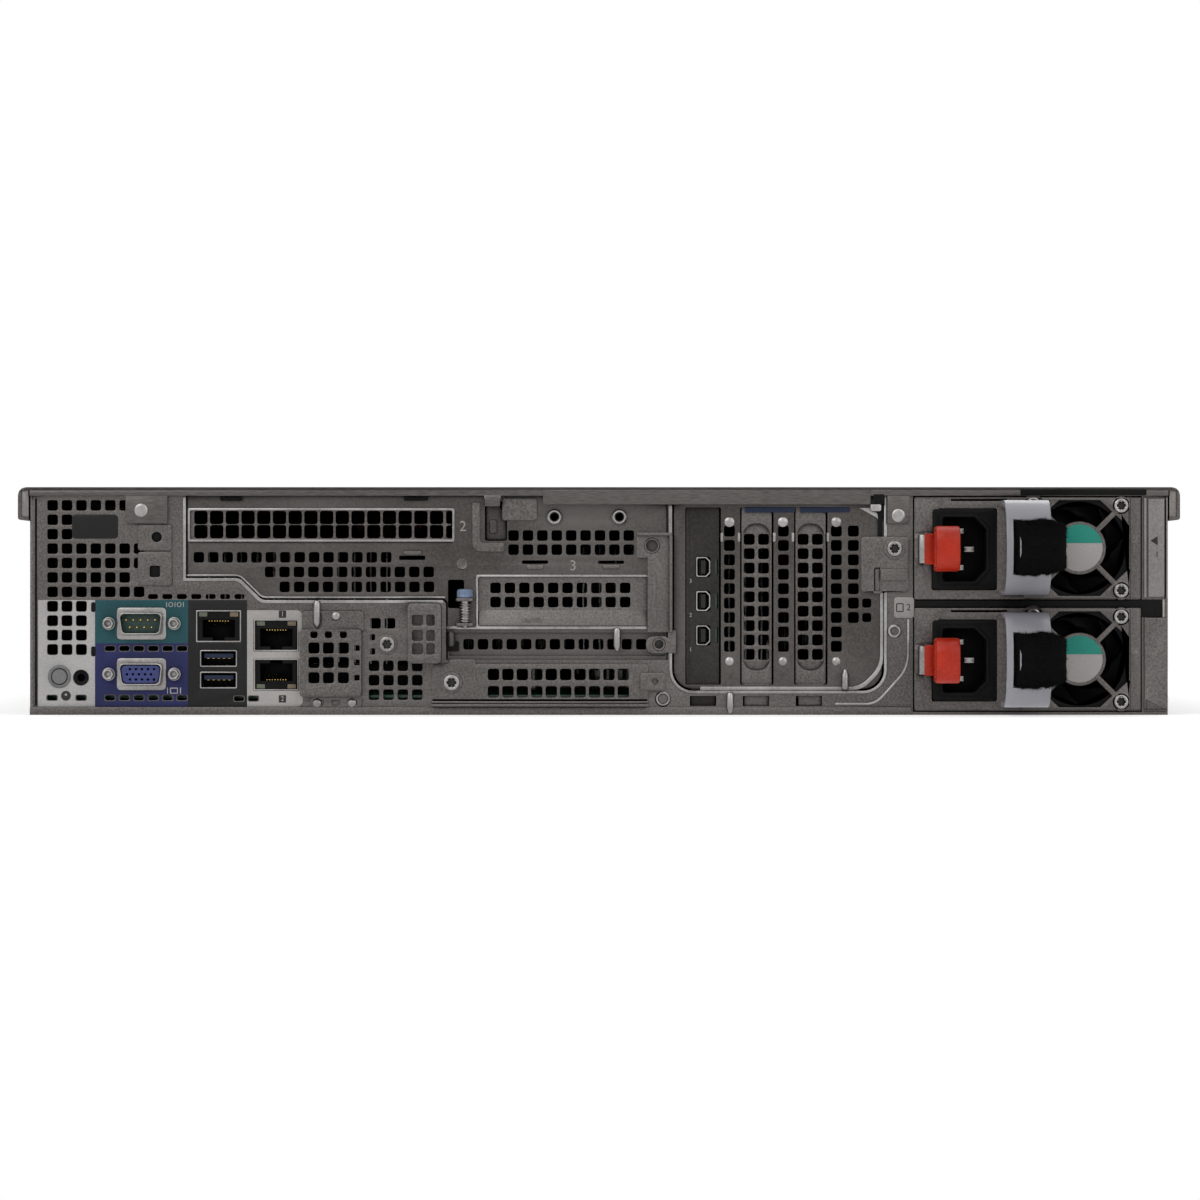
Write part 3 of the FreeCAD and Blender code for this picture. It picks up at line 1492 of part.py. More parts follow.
def psu_latch(unit):
    """Release lever: metal tongue on an upright pin, with a moulded thumb loop in front."""
    z0 = psu_floor[unit] + latch_rise
    z1 = z0 + latch_tongue
    pivot_x, pivot_y = latch_pivot(unit)
    y_tongue = psu_face() - latch_stand_off
    stem = box(pivot_x - latch_gauge / 2, pivot_x + latch_gauge / 2, y_tongue, pivot_y, z0, z1)
    pin = peg(pivot_x, pivot_y, latch_pin_radius, z0 - latch_lug, z1 + latch_lug)
    loop_x = psu_left + loop_inset
    tongue = box(pivot_x - latch_gauge / 2, loop_x + loop_wall, y_tongue - latch_gauge, y_tongue, z0, z1)
    middle_z = (z0 + z1) / 2
    half = loop_height / 2
    outer = prism_x([(y_tongue, middle_z - half, loop_root_radius),
                     (y_tongue, middle_z + half, loop_root_radius),
                     (y_tongue - loop_reach, middle_z + half, loop_radius),
                     (y_tongue - loop_reach, middle_z - half, loop_radius)],
                    loop_x, loop_x + loop_width)
    tip = y_tongue - loop_reach + loop_wall
    inner = prism_x([(y_tongue - loop_wall, middle_z - half + loop_wall, loop_root_radius),
                     (y_tongue - loop_wall, middle_z + half - loop_wall, loop_root_radius),
                     (tip, middle_z + half - loop_wall, loop_radius - loop_wall),
                     (tip, middle_z - half + loop_wall, loop_radius - loop_wall)],
                    loop_x + loop_wall, loop_x + loop_width + 1)
    return stem.fuse([pin, tongue, outer.cut(inner)])


def handle_arch(y0, reach, z0, z1, radius, x0, x1):
    """Solid arch in side view, pushed along X: flat at the face, rounded at its reach."""
    return prism_x([(y0, z0), (y0 - reach, z0, radius), (y0 - reach, z1, radius), (y0, z1)], x0, x1)


def psu_handle(unit):
    """Arched pull handle moulded from a flat band, slotted for its strap."""
    x0 = psu_left + handle_inset
    x1 = x0 + handle_width
    z0 = psu_floor[unit] + (psu_height - handle_height) / 2
    z1 = z0 + handle_height
    y0 = psu_face() - guard_thickness
    reach = y0 - (rear - handle_reach)
    t = handle_thickness
    outer = handle_arch(y0, reach, z0, z1, handle_radius, x0, x1)
    inner = handle_arch(y0 + 1, reach + 1 - t, z0 + t, z1 - t, handle_radius - t, x0 - 1, x1 + 1)
    slot_x = x0 + strap_slot_inset
    middle = (z0 + z1) / 2
    slot = box(slot_x, slot_x + strap_slot_width, y0 - reach - 1, y0 - reach + strap_hollow,
               middle - strap_width / 2 - fit_gap, middle + strap_width / 2 + fit_gap)
    return outer.cut(inner).cut(slot)


def psu_strap(unit):
    """Hook-and-loop strap: a closed band through the handle's slot and round its edge."""
    slot_x = psu_left + handle_inset + strap_slot_inset
    x0 = slot_x + fit_gap
    x1 = x0 + strap_reach
    y0 = rear - handle_reach - fit_gap - strap_thickness
    y1 = rear - handle_reach - fit_gap + strap_hollow + strap_thickness
    middle = psu_floor[unit] + psu_height / 2
    z0 = middle - strap_width / 2
    band = prism_z([(x0, y0, strap_bend), (x1, y0, strap_fold), (x1, y1, strap_fold),
                    (x0, y1, strap_bend)], z0, z0 + strap_width)
    t = strap_thickness
    hollow = prism_z([(x0 + t, y0 + t), (x1 - t, y0 + t), (x1 - t, y1 - t), (x0 + t, y1 - t)],
                     z0 - 1, z0 + strap_width + 1)
    return band.cut(hollow)


def psu_rotor(unit):
    x, z = psu_fan_centre(unit)
    return rotor(x, z, psu_face() + psu_wall + rotor_clearance, psu_fan_depth, psu_hub_radius,
                 psu_fan_radius, psu_fan_blades,
                 (psu_pin_radius + running_gap, -1, psu_fan_depth - hub_cap))


def cover():
    """Sliding top: flat skin, side channels, a stepped rear lip, riveted tabs and a latch pocket."""
    wing = chassis_width / 2 + cover_wing
    top = chassis_height
    low = top - cover_wing_height
    side = chassis_width / 2 + fit_gap
    y0 = rear - cover_lip_reach
    y1 = cover_end()
    latch_x0, latch_x1, latch_y0, latch_y1 = latch_pocket()
    hole = box(latch_x0, latch_x1, latch_y0, latch_y1, cover_under - 1, top + 1)
    skin = box(-side, side, y0, y1, cover_under, top).cut(hole)
    channels = [prism_y([(s * side, top), (s * wing, top, cover_wing_radius),
                         (s * wing, low, cover_hem_radius), (s * side, low), (s * side, low + cover_sheet),
                         (s * (wing - cover_sheet), low + cover_sheet),
                         (s * (wing - cover_sheet), cover_under), (s * side, cover_under)], y0, y1)
                for s in (-1, 1)]
    deep_x0 = riser_1_middle + deep_lip_start
    deep_x1 = riser_2_right - deep_lip_end
    lips = [box(x0, x1, y0, y0 + cover_sheet, top - height, cover_under)
            for x0, x1, height in ((left, deep_x0, cover_lip_height), (deep_x0, deep_x1, deep_lip_height),
                                   (deep_x1, right, cover_lip_height))]
    tabs = [box(x0, x0 + width, y0, y0 + cover_sheet, top - height, top - cover_lip_height)
            for x0, width, height in (
                (left + left_tab_place, hanging_tab_width, hanging_tab_height),
                (psu_left - right_tab_setback, right_tab_width, hanging_tab_height),
                (riser_1_middle + hook_slot_inset, hook_tab_width, hook_tab_height))]
    floor_z = top - latch_height - cover_sheet - 3 * fit_gap
    pan = box(latch_x0 - cover_sheet, latch_x1 + cover_sheet, latch_y0 - cover_sheet,
              latch_y1 + cover_sheet, floor_z, cover_under)
    pan = pan.cut(box(latch_x0, latch_x1, latch_y0, latch_y1, floor_z + cover_sheet, top))
    pivot_y, pivot_z = cover_latch_pivot()
    pivot_hole = rod(lever_pin_radius + running_gap, at(latch_x0 - 2 * cover_sheet, pivot_y, pivot_z),
                     at(latch_x1 + 2 * cover_sheet, pivot_y, pivot_z))
    return Part.makeCompound([skin, pan.cut(pivot_hole)] + channels + lips + tabs)


def cover_end():
    return cage_back() - fit_gap


def latch_pocket():
    """Latch pocket in the cover: left, right, rear and front edges."""
    y1 = cover_end() - latch_setback
    return -latch_width / 2 - fit_gap, latch_width / 2 + fit_gap, y1 - latch_length - 2 * fit_gap, y1


def cover_latch_pivot():
    return latch_pocket()[2] + fit_gap + latch_height / 2, chassis_height - latch_height / 2 - fit_gap


def cover_latch():
    """Lift-up lever in the cover's pocket, rounded about its pin, with a finger recess."""
    x0, x1 = latch_pocket()[0] + fit_gap, latch_pocket()[1] - fit_gap
    pivot_y, pivot_z = cover_latch_pivot()
    half = latch_height / 2
    end = pivot_y - half + latch_length
    lever = prism_x([(pivot_y - half, pivot_z - half, half), (end, pivot_z - half, half / 2),
                     (end, pivot_z + half, half / 2), (pivot_y - half, pivot_z + half, half)], x0, x1)
    pins = [rod(lever_pin_radius, at(x - fit_gap - cover_sheet, pivot_y, pivot_z), at(x, pivot_y, pivot_z))
            for x in (x0, x1 + fit_gap + cover_sheet)]
    recess = box(x0 + latch_rim, x1 - latch_rim, end - latch_window - latch_rim, end - latch_rim,
                 pivot_z + half - grip_depth, pivot_z + half + 1)
    return lever.cut(recess).fuse(pins)


def rack_ears():
    """Pair of angle brackets with two level slots each, fixed to the chassis sides."""
    ears = []
    slot_z = [chassis_height / 2 - ear_hole_spacing / 2, chassis_height / 2 + ear_hole_spacing / 2]
    for side in (-1, 1):
        inner = side * chassis_width / 2
        outer = side * rack_width / 2
        x0, x1 = min(inner, outer), max(inner, outer)
        slot_x = side * ear_hole_span / 2
        y = ear_plane - ear_thickness
        slots = [level_slot(slot_x, z, ear_slot_length - 2 * ear_slot_radius, ear_slot_radius, y)
                 for z in slot_z]
        flange = plate(rectangle(x0, x1, 0, chassis_height, y), slots, ear_thickness)
        leg_outer = side * (chassis_width / 2 + ear_thickness)
        leg = box(min(inner, leg_outer), max(inner, leg_outer), ear_plane - ear_leg, y, ear_leg_margin,
                  chassis_height - ear_leg_margin)
        ears.append(flange.fuse(leg))
    return Part.makeCompound(ears)


def build():
    """Every sub-part by name."""
    parts = {
        "chassis_tray": chassis_tray(),
        "rear_wall": rear_wall(),
        "riser_1_panel": riser_1_panel(),
        "slot_1_filler": slot_1_filler(),
        "slot_2_filler": slot_2_filler(),
        "slot_3_filler": slot_3_filler(),
        "riser_2_panel": riser_2_panel(),
        "upright_slot_fillers": upright_slot_fillers(),
        "video_card": video_card(),
        "card_retainer": card_retainer(),
        "vent_shield": vent_shield(),
        "riser_latch_box": riser_latch_box(),
        "serial_vga_stack": serial_vga_stack(),
        "network_usb_stack": network_usb_stack(),
        "dual_network_stack": dual_network_stack(),
        "id_button": id_button(),
        "riser_plunger": riser_plunger(),
        "main_board": main_board(),
        "processor_coolers": processor_coolers(),
        "memory_modules": memory_modules(),
        "fan_cage": fan_cage(),
        "fan_frames": fan_frames(),
        "drive_cage": drive_cage(),
        "power_button": power_button(),
        "backplane": backplane(),
        "cover": cover(),
        "cover_latch": cover_latch(),
        "rack_ears": rack_ears(),
    }
    for number in range(fan_count):
        parts[f"fan_rotor_{number + 1}"] = fan_rotor(number)
    for unit in range(len(psu_floor)):
        parts[f"psu_{unit + 1}_case"] = psu_case(unit)
        parts[f"psu_{unit + 1}_inlet"] = psu_inlet(unit)
        parts[f"psu_{unit + 1}_latch"] = psu_latch(unit)
        parts[f"psu_{unit + 1}_handle"] = psu_handle(unit)
        parts[f"psu_{unit + 1}_strap"] = psu_strap(unit)
        parts[f"psu_{unit + 1}_fan_rotor"] = psu_rotor(unit)
    for row in range(drive_rows):
        for column in range(drive_columns):
            number = row * drive_columns + column + 1
            parts[f"drive_carrier_{number}"] = drive_carrier(column, row)
            parts[f"carrier_handle_{number}"] = carrier_handle(column, row)
    return parts


os.makedirs("parts", exist_ok=True)
for name, shape in build().items():
    shape.exportStep(f"parts/{name}.step")
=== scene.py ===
# %% [markdown]
# # The rear of a two-unit video recorder
# The recorder is a long flat steel box. Its back is a patchwork of pierced sheet metal, connectors
# and two power supplies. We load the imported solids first, because every new piece has to sit exactly
# where they say. Lengths on such a panel are easy to read in millimetres from its left edge and from
# its base, so that is the ruler used below, and `out` counts from the wall's face towards the viewer.

# %% Load the frame
import math
import bmesh
import bpy
from mathutils import Matrix, Vector, noise


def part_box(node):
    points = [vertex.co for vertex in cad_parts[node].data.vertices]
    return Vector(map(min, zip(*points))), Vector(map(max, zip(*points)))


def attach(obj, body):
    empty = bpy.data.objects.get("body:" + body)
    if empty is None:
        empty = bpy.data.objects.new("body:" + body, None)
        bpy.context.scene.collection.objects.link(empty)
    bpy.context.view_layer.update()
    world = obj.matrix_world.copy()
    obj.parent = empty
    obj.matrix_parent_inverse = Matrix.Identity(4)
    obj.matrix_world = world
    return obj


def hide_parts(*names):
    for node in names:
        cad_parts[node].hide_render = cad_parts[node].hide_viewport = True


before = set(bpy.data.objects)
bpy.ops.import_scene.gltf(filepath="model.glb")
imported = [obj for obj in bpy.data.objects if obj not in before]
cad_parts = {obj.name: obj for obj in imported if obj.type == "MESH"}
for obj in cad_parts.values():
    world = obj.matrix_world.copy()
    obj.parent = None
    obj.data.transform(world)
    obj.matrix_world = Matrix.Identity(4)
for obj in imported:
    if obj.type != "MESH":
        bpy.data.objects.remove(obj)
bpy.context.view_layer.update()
scene = bpy.context.scene
mm = 0.001
left_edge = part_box("drive_cage")[0].x
sheet = 1.2
wall_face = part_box("chassis_tray")[0].y + sheet * mm

# %% [markdown]
# Almost everything here is stamped from sheet, so one helper does most of the work: it draws a flat
# outline with its holes, gives it a thickness, and softens the rim by a tenth of a millimetre so that
# the edge catches the light as a stamped edge does. A filled curve copes with a hundred holes in one
# face, which a mesh face can't. The helper can push its outline out of the rear (`rear`), along the
# width (`side`, drawn as out and height) or upwards (`top`, drawn as width and out).

# %% Outlines
def rounded(u0, u1, z0, z1, radius=0.0, points=3):
    """Rectangle with round corners, as a loop of points."""
    if radius <= 0:
        return [(u0, z0), (u1, z0), (u1, z1), (u0, z1)]
    loop = []
    for cu, cz, start in ((u1 - radius, z1 - radius, 0), (u0 + radius, z1 - radius, 90),
                          (u0 + radius, z0 + radius, 180), (u1 - radius, z0 + radius, 270)):
        for i in range(points):
            turn = math.radians(start + 90 * i / (points - 1))
            loop.append((cu + radius * math.cos(turn), cz + radius * math.sin(turn)))
    return loop


def centred(u, z, half_u, half_z, radius=0.0, points=3):
    """The same rectangle, given by its middle and its half sizes."""
    return rounded(u - half_u, u + half_u, z - half_z, z + half_z, radius, points)


def softened(corners, points=5):
    """Loop through corners (a, b) or (a, b, radius), each radius drawn as a short arc."""
    loop = []
    for i, corner in enumerate(corners):
        here = Vector(corner[:2])
        if len(corner) < 3:
            loop.append(tuple(here))
            continue
        before = (Vector(corners[i - 1][:2]) - here).normalized()
        after = (Vector(corners[(i + 1) % len(corners)][:2]) - here).normalized()
        half = before.angle(after) / 2
        reach = corner[2] / math.tan(half)
        centre = here + (before + after).normalized() * (corner[2] / math.sin(half))
        first = here + before * reach - centre
        sweep = first.angle_signed(here + after * reach - centre)
        for k in range(points):
            arm = first.copy()
            arm.rotate(Matrix.Rotation(-sweep * k / (points - 1), 2))
            loop.append(tuple(centre + arm))
    return loop


def ring(u, z, radius, points=20, turn=0.0):
    """Circle or regular polygon, as a loop of points."""
    step = 2 * math.pi / points
    return [(u + radius * math.cos(turn + step * i), z + radius * math.sin(turn + step * i))
            for i in range(points)]


def star(u, z, radius, arms=6, depth=0.35):
    """Six-lobed driver recess of a screw."""
    count = arms * 4
    return [(u + radius * (1 - depth * (i % 4 == 2)) * math.cos(2 * math.pi * i / count),
             z + radius * (1 - depth * (i % 4 == 2)) * math.sin(2 * math.pi * i / count))
            for i in range(count)]


def steps(first, last, pitch):
    return [first + pitch * i for i in range(int(round(abs(last - first) / abs(pitch))) + 1)]


def squares(columns, rows, side=4.0, radius=0.8):
    """Square vents with soft corners on every column and row."""
    half = side / 2
    return [centred(u, z, half, half, radius) for u in columns for z in rows]


# %% Pushing an outline into a solid
faces_of = {"rear": ((1, 0, 0), (0, 0, 1)), "side": ((0, -1, 0), (0, 0, 1)),
            "top": ((1, 0, 0), (0, -1, 0))}


def curve_mesh(curve):
    """Turn a curve into a plain mesh and drop the curve."""
    holder = bpy.data.objects.new("curve", curve)
    mesh = bpy.data.meshes.new_from_object(holder)
    bpy.data.objects.remove(holder)
    bpy.data.curves.remove(curve)
    return mesh


def pushed(outer, holes, start, end, facing="rear", rim=0.12):
    """Solid from a flat outline with holes, from start to end in millimetres, with a soft rim."""
    curve = bpy.data.curves.new("outline", "CURVE")
    curve.dimensions = "2D"
    curve.fill_mode = "BOTH"
    for loop in [outer, *holes]:
        line = curve.splines.new("POLY")
        line.points.add(len(loop) - 1)
        for point, (a, b) in zip(line.points, loop):
            point.co = (a * mm, b * mm, 0, 1)
        line.use_cyclic_u = True
    rim = min(rim, (end - start) * 0.45)
    curve.extrude = ((end - start) / 2 - rim) * mm
    curve.bevel_depth = rim * mm
    curve.bevel_resolution = 1
    curve.offset = -rim * mm
    mesh = curve_mesh(curve)
    a, b = (Vector(axis) for axis in faces_of[facing])
    c = a.cross(b)
    middle = (start + end) / 2
    origin = {"rear": Vector((left_edge, wall_face - middle * mm, 0)),
              "side": Vector((left_edge + middle * mm, wall_face, 0)),
              "top": Vector((left_edge, wall_face, middle * mm))}[facing]
    turn = Matrix((a, b, c)).transposed().to_4x4()
    mesh.transform(Matrix.Translation(origin) @ turn)
    return mesh


def plate(box, start, end, rim):
    """Plain plate from (left, right, low, high), with a corner radius if a fifth number is given."""
    return pushed(rounded(*box), [], start, end, rim=rim)


# %% [markdown]
# Screws, rivets, collars, pins and knobs are turned on a lathe in real life, so they are made the
# same way here: half a profile is spun once round its axis and the seam is merged.

# %% Turned pieces
def turned(profile, u, z, out=0.0, axis="rear", sides=24):
    """Lathe a profile of (radius, height) pairs; height runs outwards, or upwards with axis 'up'."""
    bm = bmesh.new()
    points = [bm.verts.new((r * mm, 0, h * mm)) for r, h in profile]
    edges = [bm.edges.new(pair) for pair in zip(points, points[1:])]
    bmesh.ops.spin(bm, geom=points + edges, axis=(0, 0, 1), cent=(0, 0, 0), angle=2 * math.pi,
                   steps=sides, use_merge=True)
    bmesh.ops.remove_doubles(bm, verts=bm.verts, dist=1e-6)
    bmesh.ops.recalc_face_normals(bm, faces=bm.faces)
    spin = Matrix.Rotation(math.pi / 2, 4, "X") if axis == "rear" else Matrix.Identity(4)
    bm.transform(Matrix.Translation(spot(u, z, out)) @ spin)
    return to_mesh(bm)


def spot(u, z, out=0.0):
    """A place on the panel: from the left edge, from the base, and outwards from the wall."""
    return Vector((left_edge + u * mm, wall_face - out * mm, z * mm))


def to_mesh(bm):
    mesh = bpy.data.meshes.new("piece")
    bm.to_mesh(mesh)
    bm.free()
    return mesh


# %% [markdown]
# A finished piece is one mesh with one finish. It rides on the body that carries it, and where it
# stands for a plain solid it says so, which hides that solid. Faces that meet at less than 35 degrees
# are shaded as one smooth surface.

# %% Keeping a piece
def keep(name, meshes, finish, body="chassis", stands_for=()):
    bm = bmesh.new()
    for mesh in meshes:
        bm.from_mesh(mesh)
        bpy.data.meshes.remove(mesh)
    bmesh.ops.remove_doubles(bm, verts=bm.verts, dist=1e-6)
    mesh = to_mesh(bm)
    mesh.shade_smooth()
    mesh.set_sharp_from_angle(angle=math.radians(35))
    mesh.materials.append(finish)
    piece = bpy.data.objects.new(name, mesh)
    scene.collection.objects.link(piece)
    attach(piece, body)
    if stands_for:
        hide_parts(*stands_for)
    return piece


def dressed(name, node, finish, body, width=0.25):
    """A solid that is right in shape: its triangles are merged and its sharp edges broken."""
    bm = bmesh.new()
    bm.from_mesh(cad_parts[node].data)
    bmesh.ops.remove_doubles(bm, verts=bm.verts, dist=2e-6)
    bmesh.ops.dissolve_limit(bm, angle_limit=math.radians(0.5), verts=bm.verts, edges=bm.edges)
    sharp = [e for e in bm.edges if len(e.link_faces) == 2 and e.calc_face_angle(0) > math.radians(30)
             and e.calc_length() > 3 * width * mm]
    bmesh.ops.bevel(bm, geom=sharp, offset=width * mm, offset_type="OFFSET", segments=2, profile=0.5,
                    affect="EDGES", clamp_overlap=True, material=-1)
    return keep(name, [to_mesh(bm)], finish, body, (node,))


print("rear panel starts at", round(left_edge, 4), "and faces", round(wall_face, 4))

# %% [markdown]
# ## Finishes
# The case is zinc-plated steel: grey with a slightly warm cast, a fine sparkle of grain, and broader
# patches where it has dulled. Plastic has the same two scales, far weaker. So one recipe mixes a fine
# and a broad noise, read from Object coordinates, into colour, roughness and a faint bump, and each
# finish only changes the numbers. A single flat colour would look like a toy.

# %% A finish recipe
def set_inputs(node, **values):
    """Set a node's inputs by name, with underscores for the spaces in a name."""
    for name, value in values.items():
        node.inputs[name.replace("_", " ")].default_value = value
    return node


def new_node(nodes, kind, **values):
    return set_inputs(nodes.new(f"ShaderNode{kind}"), **values)


def noise_node(nodes, links, source, scale, detail):
    grain = new_node(nodes, "TexNoise", Scale=scale, Detail=detail)
    links.new(source, grain.inputs["Vector"])
    return grain.outputs["Fac"]


def finish(name, slot, dark, light, grain=900.0, patch=22.0, stretch=(1, 1, 1), rough=(0.4, 0.55),
           bump=0.06, share=0.5, **shader):
    """Material whose colour and roughness wander between two values at two scales."""
    material = bpy.data.materials.new(name)
    material.use_nodes = True
    material["slot"] = slot
    nodes, links = material.node_tree.nodes, material.node_tree.links
    surface = set_inputs(nodes["Principled BSDF"], **shader)
    where = new_node(nodes, "TexCoord").outputs["Object"]
    mapping = new_node(nodes, "Mapping", Scale=stretch)
    links.new(where, mapping.inputs["Vector"])
    fine = noise_node(nodes, links, mapping.outputs["Vector"], grain, 3.0)
    broad = noise_node(nodes, links, where, patch, 5.0)
    both = new_node(nodes, "Mix", Factor=share)
    links.new(broad, both.inputs["A"])
    links.new(fine, both.inputs["B"])
    ramp = new_node(nodes, "ValToRGB")
    for stop, position, shade in zip(ramp.color_ramp.elements, (0.36, 0.64), (dark, light)):
        stop.position = position
        stop.color = (*shade, 1)
    links.new(both.outputs["Result"], ramp.inputs["Fac"])
    links.new(ramp.outputs["Color"], surface.inputs["Base Color"])
    dull = new_node(nodes, "MapRange", From_Min=0.3, From_Max=0.7, To_Min=rough[0], To_Max=rough[1])
    links.new(both.outputs["Result"], dull.inputs["Value"])
    links.new(dull.outputs["Result"], surface.inputs["Roughness"])
    relief = new_node(nodes, "Bump", Strength=bump, Distance=0.0004)
    links.new(fine, relief.inputs["Height"])
    links.new(relief.outputs["Normal"], surface.inputs["Normal"])
    return material


# %% Metals
plated = finish("plated_steel", "plated_steel", (0.070, 0.063, 0.060), (0.148, 0.137, 0.131),
                grain=1400, patch=11, rough=(0.36, 0.5), bump=0.08, share=0.66, Metallic=1.0)
# A lighter copy of the plated steel for the channel ends, the right column and the plate beside the lower
# supply: the lighter colour is painted light.
lit_plated = finish("lit_plated_steel", "plated_steel", (0.15, 0.137, 0.13), (0.25, 0.235, 0.228),
                     grain=1400, patch=16, rough=(0.34, 0.52), bump=0.08, share=0.42, Metallic=1.0)
# A darker, rougher copy of the plated steel for the recessed riser panels and parts inside the case: the
# darker colour is painted shade.
shaded_plated = finish("shaded_plated_steel", "plated_steel", (0.055, 0.050, 0.047), (0.11, 0.103, 0.098),
                      grain=1300, patch=20, rough=(0.42, 0.6), bump=0.10, share=0.4, Metallic=1.0)
bright = finish("bright_steel", "bright_steel", (0.20, 0.19, 0.185), (0.36, 0.35, 0.34),
                grain=900, patch=60, rough=(0.22, 0.36), bump=0.03, share=0.3, Metallic=1.0)
brushed = finish("brushed_cover", "plated_steel", (0.070, 0.063, 0.060), (0.126, 0.117, 0.112),
                 grain=260, patch=7, stretch=(1, 14, 14), rough=(0.34, 0.48), bump=0.06, share=0.72,
                 Metallic=1.0)
blackened = finish("black_steel", "black_steel", (0.012, 0.011, 0.010), (0.035, 0.031, 0.028),
                   grain=800, patch=40, rough=(0.38, 0.55), bump=0.12, Metallic=0.6)
fins = finish("aluminium_fins", "aluminium_fins", (0.50, 0.50, 0.51), (0.72, 0.72, 0.73), grain=300,
              patch=30, stretch=(1, 0.05, 1), rough=(0.25, 0.4), bump=0.04, Metallic=1.0)
drive_metal = finish("cast_drive_metal", "aluminium_fins", (0.20, 0.20, 0.205), (0.33, 0.33, 0.34),
                     grain=900, patch=18, rough=(0.34, 0.5), bump=0.10, share=0.5, Metallic=1.0)
gold = finish("gold_contacts", "bright_steel", (0.55, 0.36, 0.10), (0.80, 0.56, 0.20), grain=900,
              patch=90, rough=(0.2, 0.32), Metallic=1.0)
carrier = finish("carrier_metal", "carrier_metal", (0.03, 0.03, 0.032), (0.07, 0.07, 0.075),
                 grain=1100, patch=25, rough=(0.3, 0.45), bump=0.08, Metallic=0.9)

# %% Plastics, cloth and boards
black_plastic = finish("black_plastic", "black_plastic", (0.003, 0.003, 0.003), (0.010, 0.010, 0.010),
                       grain=1500, patch=60, rough=(0.38, 0.55), bump=0.16, Specular_IOR_Level=0.08)
glossy_black = finish("glossy_black", "black_plastic", (0.006, 0.006, 0.006), (0.018, 0.017, 0.016),
                      grain=400, patch=40, rough=(0.16, 0.3), bump=0.03, Specular_IOR_Level=0.3)
grey_plastic = finish("grey_plastic", "grey_plastic", (0.10, 0.10, 0.10), (0.19, 0.19, 0.19),
                      grain=1500, patch=60, rough=(0.4, 0.55), bump=0.14)
orange = finish("orange_plastic", "orange_plastic", (0.34, 0.012, 0.002), (0.50, 0.026, 0.005),
                grain=1200, patch=90, rough=(0.28, 0.42), bump=0.08, Specular_IOR_Level=0.3,
                Subsurface_Weight=0.05, Subsurface_Scale=0.002)
knob_blue = finish("knob_blue", "blue_plastic", (0.13, 0.18, 0.29), (0.21, 0.28, 0.40), grain=1200,
                   patch=140, rough=(0.34, 0.5), bump=0.08)
port_blue = finish("port_blue", "blue_plastic", (0.014, 0.022, 0.11), (0.028, 0.042, 0.19), grain=1000,
                   patch=140, rough=(0.3, 0.45), bump=0.05)
port_green = finish("port_green", "grey_plastic", (0.005, 0.032, 0.028), (0.012, 0.065, 0.055),
                    grain=1000, patch=140, rough=(0.3, 0.45), bump=0.05)
milky = finish("milky_plastic", "clear_plastic", (0.34, 0.34, 0.375), (0.44, 0.44, 0.48), grain=60,
               patch=12, rough=(0.22, 0.3), bump=0.0, Transmission_Weight=0.35, IOR=1.46)
fuzzy = finish("black_hook_and_loop", "black_strap", (0.001, 0.001, 0.001), (0.006, 0.006, 0.006),
               grain=2600, patch=300, rough=(0.85, 1.0), bump=1.0, share=0.75, Specular_IOR_Level=0.06)
board_green = finish("circuit_board", "circuit_board", (0.004, 0.035, 0.018), (0.012, 0.085, 0.045),
                     grain=700, patch=120, rough=(0.3, 0.42), bump=0.2, Coat_Weight=0.3)

# %% [markdown]
# The connector area is covered by a printed foil in flat colour zones. The foil's own words and marks
# are left off, so each zone is a plain colour with the slight orange-peel of print.

# %% Printed foils
foil_shades = {
    "grey": ((0.34, 0.33, 0.33), (0.48, 0.47, 0.46)),
    "teal": ((0.008, 0.050, 0.060), (0.014, 0.080, 0.092)),
    "navy": ((0.010, 0.012, 0.060), (0.016, 0.019, 0.095)),
    "black": ((0.002, 0.002, 0.002), (0.008, 0.007, 0.007)),
    "white": ((0.33, 0.31, 0.30), (0.42, 0.40, 0.39)),
    "hub_teal": ((0.012, 0.19, 0.15), (0.022, 0.27, 0.21)),
    "ink": ((0.015, 0.014, 0.014), (0.03, 0.03, 0.03)),
    "touch_blue": ((0.006, 0.013, 0.036), (0.012, 0.024, 0.062)),
}
foils = {key: finish(f"foil_{key}", "black_plastic" if key in ("black", "ink") else "grey_plastic",
                     *pair, grain=1800, patch=45, rough=(0.3, 0.46), bump=0.05,
                     Specular_IOR_Level=0.25)
         for key, pair in foil_shades.items()}
print("finishes:", len(bpy.data.materials))

# %% [markdown]
# ## The case
# The tray is one folded sheet and the cover slides over it on two rolled side channels. Their solids
# already have the right shape, so they are only dressed: coincident corners are merged, the triangles
# of each flat face are dissolved into one face, and sharp edges are broken by a quarter millimetre.

# %% Tray, cover, ears
dressed("tray", "chassis_tray", plated, "chassis", 0.2)
dressed("top_cover", "cover", brushed, "cover", 0.3)
dressed("cover_latch_lever", "cover_latch", black_plastic, "cover_latch", 0.35)
dressed("ears", "rack_ears", carrier, "chassis", 0.3)
tabs = [turned([(0, 0.15), (1.6, 0.3), (2.3, 0.15), (2.5, 0.0)], u, z, 2.4)
        for u, z in ((42.5, 78.0), (331.1, 76.0))]
keep("cover_tab_dimples", tabs, bright, "cover")
hooks = [pushed(softened([(171.6, 85.6), (173.2, 83.3), (173.9, 79.5), (178.9, 79.5),
                          (179.6, 83.3), (181.2, 85.6)]), [], 0.6, 2.38, rim=0.3),
         plate((320.4, 324.6, 77.6, 80.3, 0.6), 0.0, 2.2, 0.3)]
keep("cover_hooks", hooks, bright, "cover")
print("case dressed")

# %% [markdown]
# A row of rivets holds each side channel, and a small plate closes the channel's rear end. The rivets
# are sunk level with the skin, so that the object's height doesn't change.

